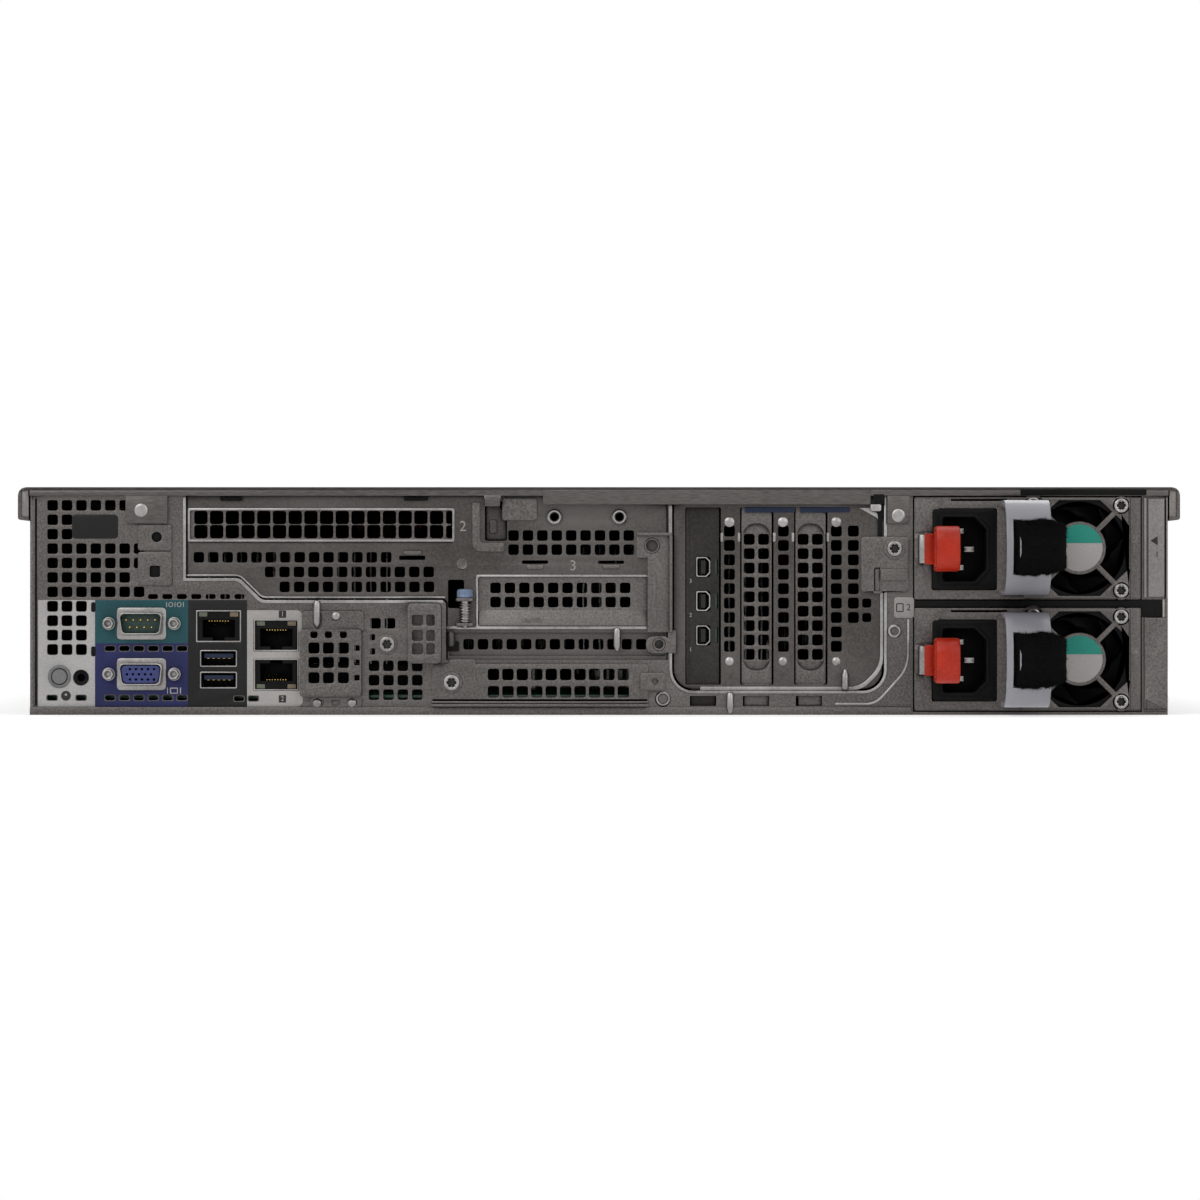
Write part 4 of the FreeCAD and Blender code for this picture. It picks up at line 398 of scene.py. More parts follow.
# %% Rivets along the cover's edge
cover_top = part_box("cover")[1].z / mm
rivets = [turned([(0, 0), (1.9, -0.02), (2.4, -0.3), (2.5, -0.7)], u, cover_top, out, axis="up", sides=20)
          for u in (4.5, 429.5) for out in steps(-30.0, -470.0, -88.0)]
keep("cover_rivets", rivets, bright, "cover")
# The channel ends take the lighter steel: painted light on the top corners.
ends = [pushed(softened([(a, 74.5, 1.6), (b, 74.5, 1.6), (b, 86.7, r1), (a, 86.7, r0)]), [], -0.4, 1.4,
               rim=0.5) for a, b, r0, r1 in ((-4.3, -0.3, 3.0, 0.5), (434.3, 438.3, 0.5, 3.0))]
keep("cover_channel_ends", ends, lit_plated, "cover")

# %% [markdown]
# ## The rear wall
# The wall is a frame around the riser openings and the two power-supply bays, pierced with square
# vents on a 5.5 mm grid. Its outline goes round the lower bay, which is open at the foot.

# %% Rear wall
pitch = 5.5
case_width = 434.0
wall_top = 85.3
bay_left, bay_right = 336.8, 424.0
vent_rows = steps(79.9, 24.9, -pitch)
vent_counts = [6, 2, 2, 7, 7, 6, 7, 3, 3, 3, 4]
wall_holes = []
for z, count in zip(vent_rows, vent_counts):
    wall_holes += squares(steps(8.6, 8.6 + (count - 1) * pitch, pitch), [z])
wall_holes += squares(steps(131.2, 147.7, pitch), steps(7.7, 18.7, pitch))
wall_holes += squares([131.8, 137.3], [34.9])
wall_holes += [rounded(129.6, 131.6, z - 1.2, z + 1.2, 0.5) for z in (24.2, 29.6)]


def slots(first, last, z, half_u=1.9, half_z=0.95, radius=0.7):
    """Row of small level slots."""
    return [centred(u, z, half_u, half_z, radius) for u in steps(first, last, pitch)]


wall_holes += slots(46.9, 79.9, 45.1) + slots(8.4, 8.4, 6.5) + slots(19.5, 19.5, 6.5)
d_places = {"serial": (42.5, 34.8), "video": (42.5, 15.5)}
manage_u, network_u = 71.9, 93.9
jack_places = {"manage": (manage_u, 33.8, -1), "upper": (network_u, 30.35, -1),
               "lower": (network_u, 15.35, 1)}
usb_places = [(manage_u, 13.25), (manage_u, 21.5)]
jack_opening = (8.7, 6.2, 0.4)
usb_opening = (7.2, 3.4, 0.4)
port_holes = [centred(u, z, 9.5, 6.2, 1.5) for u, z in d_places.values()]
port_holes += [ring(u + side * 12.5, z, 2.6) for u, z in d_places.values() for side in (-1, 1)]
port_holes += [centred(u, z, *jack_opening) for u, z, _ in jack_places.values()]
port_holes += [centred(u, z, *usb_opening) for u, z in usb_places]
foil_slots = slots(30.5, 58.0, 25.3) + slots(30.5, 58.0, 6.5) + slots(79.7, 85.2, 6.2)
wall_holes += port_holes + foil_slots
wall_holes += [ring(11.25, 14.6, 3.3), ring(19.45, 14.2, 2.85)]
riser_1 = [(59.5, 84.0), (243.3, 84.0), (243.3, 21.0), (158.7, 21.0), (158.7, 43.8, 2.0),
           (88.5, 43.8, 4.0), (80.0, 52.2, 4.0), (59.5, 52.2)]
riser_2 = [(244.9, 9.2, 8.0), (325.7, 9.2, 8.0), (325.7, 84.0), (244.9, 84.0)]
wall_holes += [softened(riser_1, 8), softened(riser_2, 8)]
wall_holes += [rounded(104.0, 125.6, 8.0, 31.6), rounded(171.3, 234.2, 5.0, 17.8)]
wall_holes += [rounded(u - 5.0, u + 5.0, 3.4, 7.2) for u in (256.7, 276.9, 297.1)]
wall_holes += [rounded(425.4, 431.8, 36.9, 43.0, 0.6), rounded(bay_left, bay_right, 43.6, 83.6, 0.5)]
wall_holes += [rounded(322.3, 324.2, 46.8, 55.7, 0.6)]
wall_outline = [(1.2, 1.25), (bay_left, 1.25), (bay_left, 41.2), (bay_right, 41.2), (bay_right, 1.25),
                (432.8, 1.25), (432.8, wall_top), (1.2, wall_top)]
keep("rear_wall_sheet", [pushed(wall_outline, wall_holes, -sheet, 0)], plated,
     stands_for=("rear_wall",))
print("openings in the wall:", len(wall_holes))

# %% Plates, rivets and embossing on the wall
raised = [pushed(rounded(41.2, 54.2, 62.6, 72.6, 1.0), [ring(48.4, 67.8, 1.9)], 0, 1.2, rim=0.3),
          pushed(rounded(41.2, 54.2, 49.2, 62.2, 1.0), [rounded(45.8, 49.6, 52.6, 56.8, 0.5)],
                 0, 1.2, rim=0.3),
          pushed(rounded(316.9, 335.3, 46.8, 68.0, 1.2),
                 [ring(329.7, 63.4, 2.0), rounded(321.9, 324.6, 46.7, 56.1, 0.6)],
                 0, 1.1, rim=0.35),
          plate((324.2, 334.9, 51.1, 55.7, 0.8), 1.1, 2.0, 0.3),
          pushed(softened([(159.4, 17.3), (159.4, 21.1, 1.0), (170.1, 21.1, 1.0),
                           (170.1, 17.3)]), [], 0, 1.3, rim=0.4)]
keep("wall_plates", raised, plated)
# The beads round the bay and the riser openings are real folds; their bright steel is a painted highlight
# along the folded edges.
bead = [(334.5, 36.5), (335.3, 36.5), (335.3, 17.7, 14.0), (322.7, 3.8, 8.0),
        (307.0, 3.8), (307.0, 4.6), (322.3, 4.6, 7.5), (334.5, 18.0, 13.5)]
lit_beads = [pushed(softened(bead, 8), [], 0, 0.5, rim=0.22),
        pushed(softened([(243.8, 83.8), (243.8, 8.1, 9.1), (326.8, 8.1, 9.1), (326.8, 83.8),
                         (325.7, 83.8), (325.7, 9.2, 8.0), (244.9, 9.2, 8.0), (244.9, 83.8)], 10), [],
               -0.1, 0.55, rim=0.25),
        pushed(softened([(58.4, 83.6), (58.4, 51.0), (79.4, 51.0, 4.5), (87.9, 42.6, 4.5),
                         (157.6, 42.6), (157.6, 43.8), (88.5, 43.8, 4.0), (80.0, 52.2, 4.0),
                         (59.5, 52.2), (59.5, 83.6)], 8), [], -0.1, 0.45, rim=0.2)]
keep("wall_beads_highlit", lit_beads, bright)
pins = [(109.5, 33.0, 43.8), (223.9, 24.2, 33.4), (267.0, 0.4, 8.8)]
guides = [turned([(0, 0), (0.7, 0.3), (1.5, 2.2), (1.5, high - low - 1.2), (1.1, high - low - 0.4),
                  (0, high - low)], u, low, 1.5, axis="up", sides=16) for u, low, high in pins]
guides.append(turned([(0, 8.0), (0.7, 7.7), (1.5, 5.8), (1.5, 0.4), (1.1, 0), (0, 0)], 310.8, 9.6,
                     1.5, axis="up", sides=16))
keep("guide_pins", guides, bright)
print("wall dressed")

# %% [markdown]
# Screws with a six-lobed recess hold the plates. The head is a ring with a star-shaped hole over a
# small floor, which gives a recess with real depth; the floor is painted black as shade for the
# shadow the recess is too small to hold.

# %% Screws
def screws(name, spots, body="chassis", axis_holes=0.56):
    """Button-head screws at (u, z, out, radius, height), each with a driver recess over a floor painted
    black as shade.
    """
    heads = [pushed(ring(u, z, radius, 28), [star(u, z, radius * axis_holes)], out, out + height,
                    rim=min(0.6, height * 0.42)) for u, z, out, radius, height in spots]
    shade_floors = [pushed(ring(u, z, radius * 0.8, 16), [], out - 0.4, out + 0.2, rim=0.05)
              for u, z, out, radius, height in spots]
    keep(name, heads, bright, body)
    keep(f"{name}_recess_shade", shade_floors, blackened, body)


screws("wall_screws", [(329.7, 63.4, 1.1, 3.0, 1.6), (136.2, 26.9, 0, 3.0, 1.4),
                       (160.8, 12.3, 1.2, 3.1, 1.5)])
washers = [pushed(ring(u, z, r, 28), [ring(u, z, 2.0, 20)], out, out + 0.5, rim=0.15)
           for u, z, r, out in ((136.2, 26.9, 3.9, 0), (160.8, 12.3, 4.1, 1.2),
                                (329.7, 63.4, 4.1, 1.1))]
keep("wall_washers", washers, plated)
collars = [turned([(r, 0.0), (r + 0.4, 0.5), (r + 0.9, 0.6), (r + 1.3, 0.3), (r + 1.5, 0.0)], u, z, out,
                  sides=24)
           for u, z, r, out in ((329.7, 31.9, 1.3, 0), (241.4, 6.1, 1.6, 0))]
keep("wall_collars", collars, bright)

# %% ID button and status jack
keep("id_button_ring", [turned([(3.0, 0), (3.3, 0.7), (3.9, 0.8), (4.4, 0.4), (4.5, 0)], 11.25, 14.6)],
     grey_plastic)
keep("id_button_cap", [turned([(0, 1.0), (1.4, 1.05), (2.2, 1.15), (2.75, 1.0), (2.9, 0.5), (2.9, -2.5)],
                              11.25, 14.6)], grey_plastic, "id_button", ("id_button",))
keep("status_jack", [turned([(2.8, 0.35), (2.85, 0.3), (2.8, -0.4), (2.2, -0.6), (1.5, -0.8), (1.4, -8),
                             (0, -8)], 19.45, 14.2)], black_plastic)
keep("marks_by_the_button", [pushed(ring(13.7, 7.3, 1.9, 24), [ring(13.7, 7.7, 0.45, 10)],
                                    0, 0.16, rim=0.03)], foils["ink"])

# %% [markdown]
# ## Connector area
# Five foils and a bare label lie on the wall. They are 0.14 mm thick and have the wall's openings.
# Their slots are cut a little larger than the wall's, so a line of metal shows round each slot.

# %% Foils
def grown_slots(first, last, z):
    return slots(first, last, z, 2.2, 1.2, 0.6)


def foil_piece(name, key, box_of, holes, radius=0.0):
    keep(name, [pushed(rounded(*box_of, radius), holes, 0.0, 0.14, rim=0.03)], foils[key])


grey_holes = squares([8.6, 14.1, 19.6], steps(41.4, 24.9, -pitch), 4.2) + [ring(11.25, 14.6, 3.5)]
grey_holes += [ring(19.45, 14.2, 3.1)] + grown_slots(8.4, 8.4, 6.5) + grown_slots(19.5, 19.5, 6.5)
foil_piece("foil_left", "grey", (3.1, 24.8, 3.1, 43.8), grey_holes)
foil_piece("bare_label", "black", (16.0, 33.6, 67.2, 76.4), [], 1.3)


def d_holes(key):
    """Openings of a D-shaped connector: one for its shell, two for its posts."""
    u, z = d_places[key]
    return [centred(u, z, 9.5, 6.2, 1.5)] + [ring(u + side * 12.5, z, 2.6) for side in (-1, 1)]


foil_piece("foil_serial", "teal", (24.8, 60.3, 27.3, 43.8), d_holes("serial"))
foil_piece("foil_video", "navy", (24.8, 60.3, 3.1, 27.3),
           d_holes("video") + grown_slots(30.5, 58.0, 25.3) + grown_slots(30.5, 58.0, 6.5))
black_holes = [centred(manage_u, 33.8, *jack_opening)]
black_holes += [centred(u, z, *usb_opening) for u, z in usb_places]
foil_piece("foil_usb", "black", (60.3, 82.8, 3.1, 43.8), black_holes + grown_slots(79.7, 79.7, 6.2))
white_holes = [centred(network_u, z, *jack_opening) for z in (30.35, 15.35)]
white = softened([(82.8, 3.1), (104.1, 3.1, 2.5), (104.1, 39.9, 2.5), (82.8, 39.9)])
keep("foil_network", [pushed(white, white_holes + grown_slots(85.2, 85.2, 6.2), 0, 0.14, rim=0.03)],
     foils["white"])
print("foils laid")

# %% [markdown]
# Numerals and pictograms stay generic: port numbers, bars and rings for the serial port, and a screen
# for the video port. A numeral starts as a text curve and becomes a mesh before it is put in place.

# %% Numerals and pictograms
def numeral(text, u, z, size, out, thickness=0.1):
    """Printed or stamped numeral standing on a surface at `out`, centred on (u, z)."""
    curve = bpy.data.curves.new("numeral", "FONT")
    curve.body = text
    curve.size = size * mm
    curve.align_x = "CENTER"
    curve.align_y = "CENTER"
    curve.resolution_u = 3
    curve.extrude = thickness / 2 * mm
    mesh = curve_mesh(curve)
    stand = Matrix.Rotation(math.pi / 2, 4, "X")
    mesh.transform(Matrix.Translation(spot(u, z, out + thickness / 2)) @ stand)
    return mesh


boxes = [pushed(centred(u, z, 1.4, 1.4, 0.2), [], 0.13, 0.2, rim=0.02)
         for u, z in ((96.3, 38.4), (96.3, 6.1))]
keep("port_number_boxes", boxes, foils["ink"])
keep("port_numbers", [numeral("1", 96.3, 38.4, 2.6, 0.2, 0.05),
                      numeral("2", 96.3, 6.1, 2.6, 0.2, 0.05)], foils["white"])
bars = [plate((u - 0.15, u + 0.15, 41.1, 43.0), 0.13, 0.2, 0.02)
        for u in (52.1, 55.3, 58.5)]
bars += [pushed(rounded(u - 0.9, u + 0.9, 41.1, 43.0, 0.8),
                [rounded(u - 0.6, u + 0.6, 41.4, 42.7, 0.5)], 0.13, 0.2, rim=0.02)
         for u in (53.7, 56.9)]
bars += [pushed(rounded(53.4, 56.4, 8.1, 10.4, 0.3),
                [rounded(53.8, 56.1, 8.4, 10.0, 0.2)], 0.13, 0.2, rim=0.02),
         plate((52.3, 52.6, 8.1, 10.4), 0.13, 0.2, 0.02),
         plate((57.2, 57.6, 8.1, 10.4), 0.13, 0.2, 0.02)]
keep("port_pictograms", bars, foils["white"])

# %% [markdown]
# ### D-shaped connectors
# A pressed steel shell with one pair of sloping sides stands on a flange, between two six-sided posts
# that take a plug's screws. The serial port has nine pins in a green insert. The video port has
# fifteen holes in a blue one.

# %% D-shaped connectors
def d_loop(u, z, half, tall, taper=1.0, radius=1.6):
    """Outline with a wide top and a narrower foot, as on a D-shaped plug."""
    return softened([(u - half, z + tall, radius), (u + half, z + tall, radius),
                     (u + half - taper, z - tall, radius), (u - half + taper, z - tall, radius)])


shells, posts = [], []
for u, z in d_places.values():
    shells.append(pushed(centred(u, z, 9.45, 6.15, 1.4),
                         [d_loop(u, z, 8.0, 3.8)], -1.15, 0.25, rim=0.3))
    shells.append(pushed(centred(u, z, 15.4, 6.2, 0.8), [d_loop(u, z, 8.0, 3.8)],
                         -2.4, -1.25, rim=0.2))
    shells.append(pushed(d_loop(u, z, 8.45, 4.2), [d_loop(u, z, 7.9, 3.65)], -1.2, 5.0, rim=0.26))
    for side in (-1, 1):
        post_u = u + side * 12.495
        posts.append(pushed(ring(post_u, z, 2.2, 6), [ring(post_u, z, 1.25, 16)], -2.3, 4.5, rim=0.3))
        posts.append(pushed(ring(post_u, z, 1.3, 12), [], -2.3, 1.5, rim=0.05))
        posts.append(pushed(ring(post_u, z, 2.5, 24), [ring(post_u, z, 1.9, 16)], -1.2, 0.5, rim=0.2))
keep("d_shells", shells, bright, stands_for=("serial_vga_stack",))
keep("d_posts", posts, bright)
serial_u, serial_z = d_places["serial"]
video_u, video_z = d_places["video"]
pin_spots = [(serial_u + (i - 2) * 2.77, serial_z + 1.42) for i in range(5)]
pin_spots += [(serial_u + (i - 1.5) * 2.77, serial_z - 1.42) for i in range(4)]
serial_body = [pushed(d_loop(serial_u, serial_z, 7.9, 3.7), [], -1.2, 0.4, rim=0.2)]
serial_body += [turned([(0.95, 0.2), (0.95, 0.75), (0.6, 0.8), (0.5, 0.8)], u, z, 0.2, sides=12)
                for u, z in pin_spots]
keep("serial_insert", serial_body, port_green)
keep("serial_pins", [turned([(0.5, 0), (0.5, 3.3), (0.3, 3.8), (0, 4.0)], u, z, 0.3, sides=12)
                     for u, z in pin_spots], gold)
sockets = [ring(video_u + (i - 2) * 2.29 + shift, video_z + dz, 0.48, 10)
           for dz, shift in ((1.98, 0.57), (0.0, -0.57), (-1.98, 0.57)) for i in range(5)]
keep("video_insert", [pushed(d_loop(video_u, video_z, 7.6, 3.35), sockets, 0.2, 4.4, rim=0.18)],
     port_blue)
keep("video_contacts", [pushed(d_loop(video_u, video_z, 7.7, 3.4), [], -1.1, 0.6, rim=0.1)],
     black_plastic)
keep("connector_block", [plate((27.1, 57.9, 7.6, 21.7), -16.4, -2.4, 0.3)], black_plastic)

# %% [markdown]
# ### Network and USB sockets
# A network socket is a plastic block in a steel shield. Its mouth has a step for the plug's latch,
# eight sprung contacts lie inside, and two small lights sit in the corners away from the step.

# %% Network sockets
shields, blocks, wires, lights_left, lights_right = [], [], [], [], []
for u, z, flip in jack_places.values():
    middle = z + flip * 0.9
    tall, half = 3.4, 6.2
    mouth = [(u - half, middle - flip * tall), (u - half, middle + flip * tall),
             (u - 2.3, middle + flip * tall), (u - 2.3, middle + flip * (tall + 1.5)),
             (u + 2.3, middle + flip * (tall + 1.5)), (u + 2.3, middle + flip * tall),
             (u + half, middle + flip * tall), (u + half, middle - flip * tall)]
    light_z = z - flip * 4.5
    windows = [centred(u + side * 5.9, light_z, 1.7, 0.95, 0.2)
               for side in (-1, 1)]
    shields.append(pushed(centred(u, z, 8.6, 6.1, 0.3),
                          [centred(u, z, 8.1, 5.6, 0.3)], -0.5, 0.1, rim=0.15))
    shields.append(pushed(centred(u, z, 8.6, 6.1, 0.3),
                          [centred(u, z, 8.3, 5.8, 0.2)], -21.0, -0.4, rim=0.1))
    blocks.append(pushed(centred(u, z, 8.25, 5.75, 0.2), [mouth] + windows,
                         -13.5, -0.45, rim=0.1))
    blocks.append(pushed(centred(u, z, 8.25, 5.75, 0.2), [], -20.8, -13.4, rim=0.1))
    for i in range(8):
        wire_u = u + (i - 3.5) * 1.02
        root = middle - flip * (tall - 0.35)
        tip = middle - flip * (tall - 2.6)
        bend = [(-1.2, root), (-9.0, tip), (-9.0, tip + flip * 0.3), (-1.2, root + flip * 0.3)]
        wires.append(pushed(bend, [], wire_u - 0.17, wire_u + 0.17, "side", rim=0.03))
    for side, glow in ((-1, lights_left), (1, lights_right)):
        glow.append(pushed(centred(u + side * 5.9, light_z, 1.6, 0.85, 0.2), [], -3.0, -0.2, rim=0.15))
keep("jack_shields", shields, bright, stands_for=("network_usb_stack", "dual_network_stack"))
keep("jack_blocks", blocks, black_plastic)
keep("jack_contacts", wires, gold)
lamp_green = finish("lamp_green", "clear_plastic", (0.10, 0.12, 0.08), (0.16, 0.19, 0.13), grain=800,
                    patch=90, rough=(0.2, 0.3), Transmission_Weight=0.3)
lamp_amber = finish("lamp_amber", "clear_plastic", (0.16, 0.12, 0.07), (0.24, 0.19, 0.11), grain=800,
                    patch=90, rough=(0.2, 0.3), Transmission_Weight=0.3)
keep("jack_lights_left", lights_left, lamp_green)
keep("jack_lights_right", lights_right, lamp_amber)

# %% USB sockets
cans, tongues, throats = [], [], []
for u, z in usb_places:
    cans.append(pushed(centred(u, z, 7.1, 3.25, 0.5),
                       [centred(u, z, 6.6, 2.75, 0.3)], -13.0, 0.35, rim=0.2))
    for side in (-1, 1):
        for spring_u in (u - 3.2, u + 3.2):
            cans.append(pushed([(-0.6, z + side * 2.8), (-3.5, z + side * 2.35), (-6.0, z + side * 2.8)],
                               [], spring_u - 0.9, spring_u + 0.9, "side", rim=0.06))
    tongues.append(plate((u - 5.6, u + 5.6, z + 0.1, z + 1.9, 0.3), -12.5, -1.0, 0.25))
    throats.append(pushed(centred(u, z, 6.7, 2.85), [], -13.2, -12.0, rim=0.05))
keep("usb_cans", cans, bright)
keep("usb_tongues", tongues, foils["touch_blue"])
keep("usb_throats", throats, black_plastic)
fingers = [plate((u + i * 2.0 - 0.45, u + i * 2.0 + 0.45, z - 0.05, z + 0.12), -10.0, -1.6, 0.02)
           for u, z in usb_places for i in range(-2, 3)]
keep("usb_contacts", fingers, gold)
print("connectors built")

# %% [markdown]
# ## First riser
# The first riser's panel is a stepped plate behind the wall's opening. It carries two slot windows,
# rows of vents, lances pressed out of the sheet to stiffen it, and two collared screw holes.

# %% Stepped panel
lap_1 = [(60.0, 83.5), (242.8, 83.5), (242.8, 20.4), (159.2, 20.4), (159.2, 44.3, 2.0), (88.8, 44.3, 4.0),
         (80.3, 52.7, 4.0), (60.0, 52.7)]
slot_2_window = (60.8, 161.1, 66.7, 78.1)
slot_3_window = (170.9, 236.5, 33.8, 52.6)
panel_holes = [rounded(*slot_2_window, 0.6), rounded(*slot_3_window, 0.8)]
panel_holes += squares(steps(64.3, 135.8, pitch), [60.1])
panel_holes += squares(steps(91.5, 152.0, pitch), [54.5]) + squares(steps(97.1, 152.1, pitch), [48.8])
panel_holes += squares(steps(184.4, 228.4, pitch), [68.4, 63.0])
panel_holes += [rounded(173.5, 181.9, 66.4, 81.4, 0.8), rounded(159.4, 165.5, 40.7, 51.5, 0.6),
                rounded(159.7, 242.3, 22.5, 31.3, 0.6), ring(200.0, 75.5, 1.5, 16),
                ring(224.8, 75.5, 1.5, 16)]
lance_slots = ((140.7, 150.7, 59.1, 60.7), (187.6, 197.6, 57.6, 58.9), (216.6, 226.6, 57.6, 58.8))
panel_holes += [rounded(*slot, 0.5) for slot in lance_slots]
# The riser sheet takes the darker steel: painted shade for its recess behind the wall.
keep("riser_1_sheet", [pushed(softened(lap_1, 8), panel_holes, -2.4, -1.2)], shaded_plated,
     stands_for=("riser_1_panel",))
row = squares(steps(167.2, 233.2, pitch), [26.9])
keep("riser_1_joggle", [pushed(rounded(159.2, 243.3, 21.5, 32.3), row, -3.6, -2.4)], shaded_plated)
print("first riser:", len(panel_holes), "openings")

# %% Collars, lances and embossing of the first riser
# Collars, window rims, the ledge under slot 2, the stepped edge and the fold are pressed shapes; their
# bright steel is a painted highlight along the edges.
marks = [turned([(1.55, -0.6), (1.6, 0.9), (1.9, 1.3), (2.5, 1.4), (2.9, 1.0), (3.0, 0.0)], u, z, -1.2)
         for u, z in ((200.0, 75.5), (224.8, 75.5))]
shaped = [plate((*tab, 0.8), -1.3, -0.3, 0.6)
          for tab in ((142.3, 149.5, 60.9, 62.6), (189.2, 196.0, 55.5, 57.4),
                      (218.2, 225.0, 55.7, 57.4), (187.3, 195.3, 34.6, 36.7))]
shaped.append(plate((159.4, 170.1, 17.3, 21.5, 1.2), -1.3, -0.2, 0.6))
ell = [(168.6, 81.0), (171.6, 81.0), (171.6, 65.7, 1.4), (180.8, 65.7), (180.8, 62.2),
       (168.6, 62.2, 3.0)]
shaped.append(pushed(softened(ell), [], -1.3, -0.5, rim=0.4))
shaped.append(plate((180.0, 193.4, 74.1, 82.9, 1.0), -1.3, -0.5, 0.35))
ledge = [(0.2, 66.9), (0.2, 66.1), (-1.3, 65.5), (-1.3, 66.9)]
marks.append(pushed(ledge, [], 60.8, 161.1, "side", rim=0.1))
rim_2 = pushed(rounded(60.0, 161.9, 65.9, 78.9, 0.8), [rounded(60.9, 161.0, 66.8, 78.0, 0.6)],
               -1.3, -0.75, rim=0.24)
rim_3 = pushed(rounded(170.0, 237.4, 32.9, 53.5, 1.0), [rounded(*slot_3_window, 0.8)],
               -1.3, -0.75, rim=0.24)
edge = [(59.6, 52.9), (79.7, 52.9, 4.0), (88.2, 44.5, 4.0), (158.4, 44.5), (158.4, 45.2),
        (88.6, 45.2, 4.2), (80.2, 53.6, 4.2), (59.6, 53.6)]
fold = [(158.7, 32.6), (244.1, 32.6), (244.1, 33.8), (158.7, 33.8)]
marks += [rim_2, rim_3, pushed(softened(edge, 8), [], -1.3, -0.7, rim=0.25),
          pushed(fold, [], -1.3, -0.6, rim=0.3)]
shaped.append(turned([(0, 0.12), (1.6, 0.12), (2.0, 0.3), (2.3, 0.0)], 164.8, 57.6, -1.2))
# Bright steel on these pressings is painted highlight.
keep("riser_1_pressings_highlit", marks, bright)
keep("riser_1_embosses", shaped, plated)
hollow = [(173.9, 66.8), (181.5, 66.8), (181.5, 76.0), (178.1, 81.0), (173.9, 81.0)]
keep("riser_1_catch", [pushed(hollow, [], -5.2, -4.0, rim=0.5),
                       plate((175.1, 178.1, 69.1, 74.5, 0.8), -4.2, -2.6, 0.6)],
     shaded_plated)
keep("slot_numerals", [numeral("2", 165.1, 71.8, 5.6, -1.25, 0.16),
                       numeral("3", 207.1, 56.8, 5.6, -1.25, 0.16)], bright)

# %% [markdown]
# The slot fillers sit one sheet further in. Slot 2 has two rows of larger vents. Slot 3 has two rows
# over a sloping ledge. Slot 1 is screwed over the wall, below the riser, and has a folded foot.

# %% Slot fillers
slot_2_vents = squares(steps(65.0, 161.0, 6.0), [75.3, 69.9], 5.1, 0.9)
keep("slot_2_plate", [pushed(rounded(59.8, 162.1, 65.7, 79.1), slot_2_vents, -3.6, -2.4)], plated,
     stands_for=("slot_2_filler",))
slot_3_vents = squares(steps(177.5, 227.0, pitch), [48.4, 43.0])
slope = [(-3.6, 40.0), (-2.4, 40.0), (-0.1, 34.6), (-0.1, 34.0), (-1.2, 34.0), (-3.6, 39.0)]
keep("slot_3_plate", [pushed(rounded(169.9, 237.5, 39.5, 53.6), slot_3_vents, -3.6, -2.4),
                      pushed(slope, [], 171.2, 236.2, "side", rim=0.15)], plated,
     stands_for=("slot_3_filler",))
slot_1_vents = squares(steps(176.8, 226.3, pitch), [15.4, 8.8], 4.3, 0.8)
slot_1_vents.append(ring(160.8, 12.3, 1.8))
foot = [(0.0, 3.3), (4.2, 3.3), (4.2, 4.2, 0.4), (1.2, 4.5, 0.8), (1.2, 6.0), (0.0, 6.0)]
slot_1_outline = softened([(153.3, 3.3), (235.7, 3.3), (235.7, 19.5, 1.5), (153.3, 19.5, 1.5)])
keep("slot_1_cover", [pushed(slot_1_outline, slot_1_vents, 0.0, 1.2, rim=0.2),
                      pushed(softened(foot), [], 153.3, 235.7, "side", rim=0.1),
                      pushed(rounded(232.7, 242.2, 9.2, 16.1, 0.8), [ring(238.4, 12.7, 1.2)],
                             1.2, 2.2, rim=0.25)], plated, stands_for=("slot_1_filler",))
print("fillers:", len(slot_2_vents), len(slot_3_vents), len(slot_1_vents))

# %% [markdown]
# A blue plunger holds the riser down. Its knob is waisted and ribbed for the thumb, and a spring sits
# on the pin between the two bracket ears. The spring is one wire, swept along a helix with a curve's
# own round bevel.

# %% Plunger
plunger_u, plunger_out = 165.9, 2.5
knob = [(0, 3.4), (1.6, 3.4), (2.7, 3.1), (3.0, 2.6), (2.75, 1.9), (2.75, 1.3), (3.05, 0.8), (3.0, 0.2),
        (1.6, 0.0), (0, 0.0)]
knob_z = 44.6
knob_pieces = [turned(knob, plunger_u, knob_z, plunger_out, axis="up", sides=32)]
knob_pieces += [pushed(ring(u, out, 0.22, 6), [], knob_z + 0.7, knob_z + 2.7, "top", rim=0.05)
                for u, out in ring(plunger_u, plunger_out, 2.75, 16)]
keep("plunger_knob", knob_pieces, knob_blue, "riser_plunger", ("riser_plunger",))
keep("plunger_pin", [turned([(0, 0), (1.0, 0.2), (1.5, 1.4), (1.5, 11.6), (0, 11.6)], plunger_u,
                            knob_z - 11.6, plunger_out, axis="up", sides=20)], bright, "riser_plunger")


def helix(u, out, low, high, radius, wire, turns):
    """Round wire wound about an upright pin."""
    curve = bpy.data.curves.new("wire", "CURVE")
    curve.dimensions = "3D"
    curve.bevel_depth = wire * mm
    curve.bevel_resolution = 2
    line = curve.splines.new("POLY")
    count = turns * 16
    line.points.add(count)
    for i, point in enumerate(line.points):
        a = 2 * math.pi * i / 16
        point.co = (*spot(u + radius * math.cos(a), low + (high - low) * i / count,
                          out + radius * math.sin(a)), 1)
    return curve_mesh(curve)


keep("plunger_spring", [helix(plunger_u, plunger_out, 35.4, 42.9, 2.05, 0.28, 7)], bright)
ears = [pushed(rounded(plunger_u - 3.5, plunger_u + 3.5, -1.2, 5.5, 1.4),
               [ring(plunger_u, plunger_out, 1.65, 16)], z, z + sheet, "top", rim=0.2)
        for z in (43.3, 33.8)]
keep("plunger_ears", ears, plated)

# %% [markdown]
# ## Guards beside the riser
# A mesh box guards a vent, a narrow pierced box guards the riser's release, and a folded clip covers
# the seam between the risers.

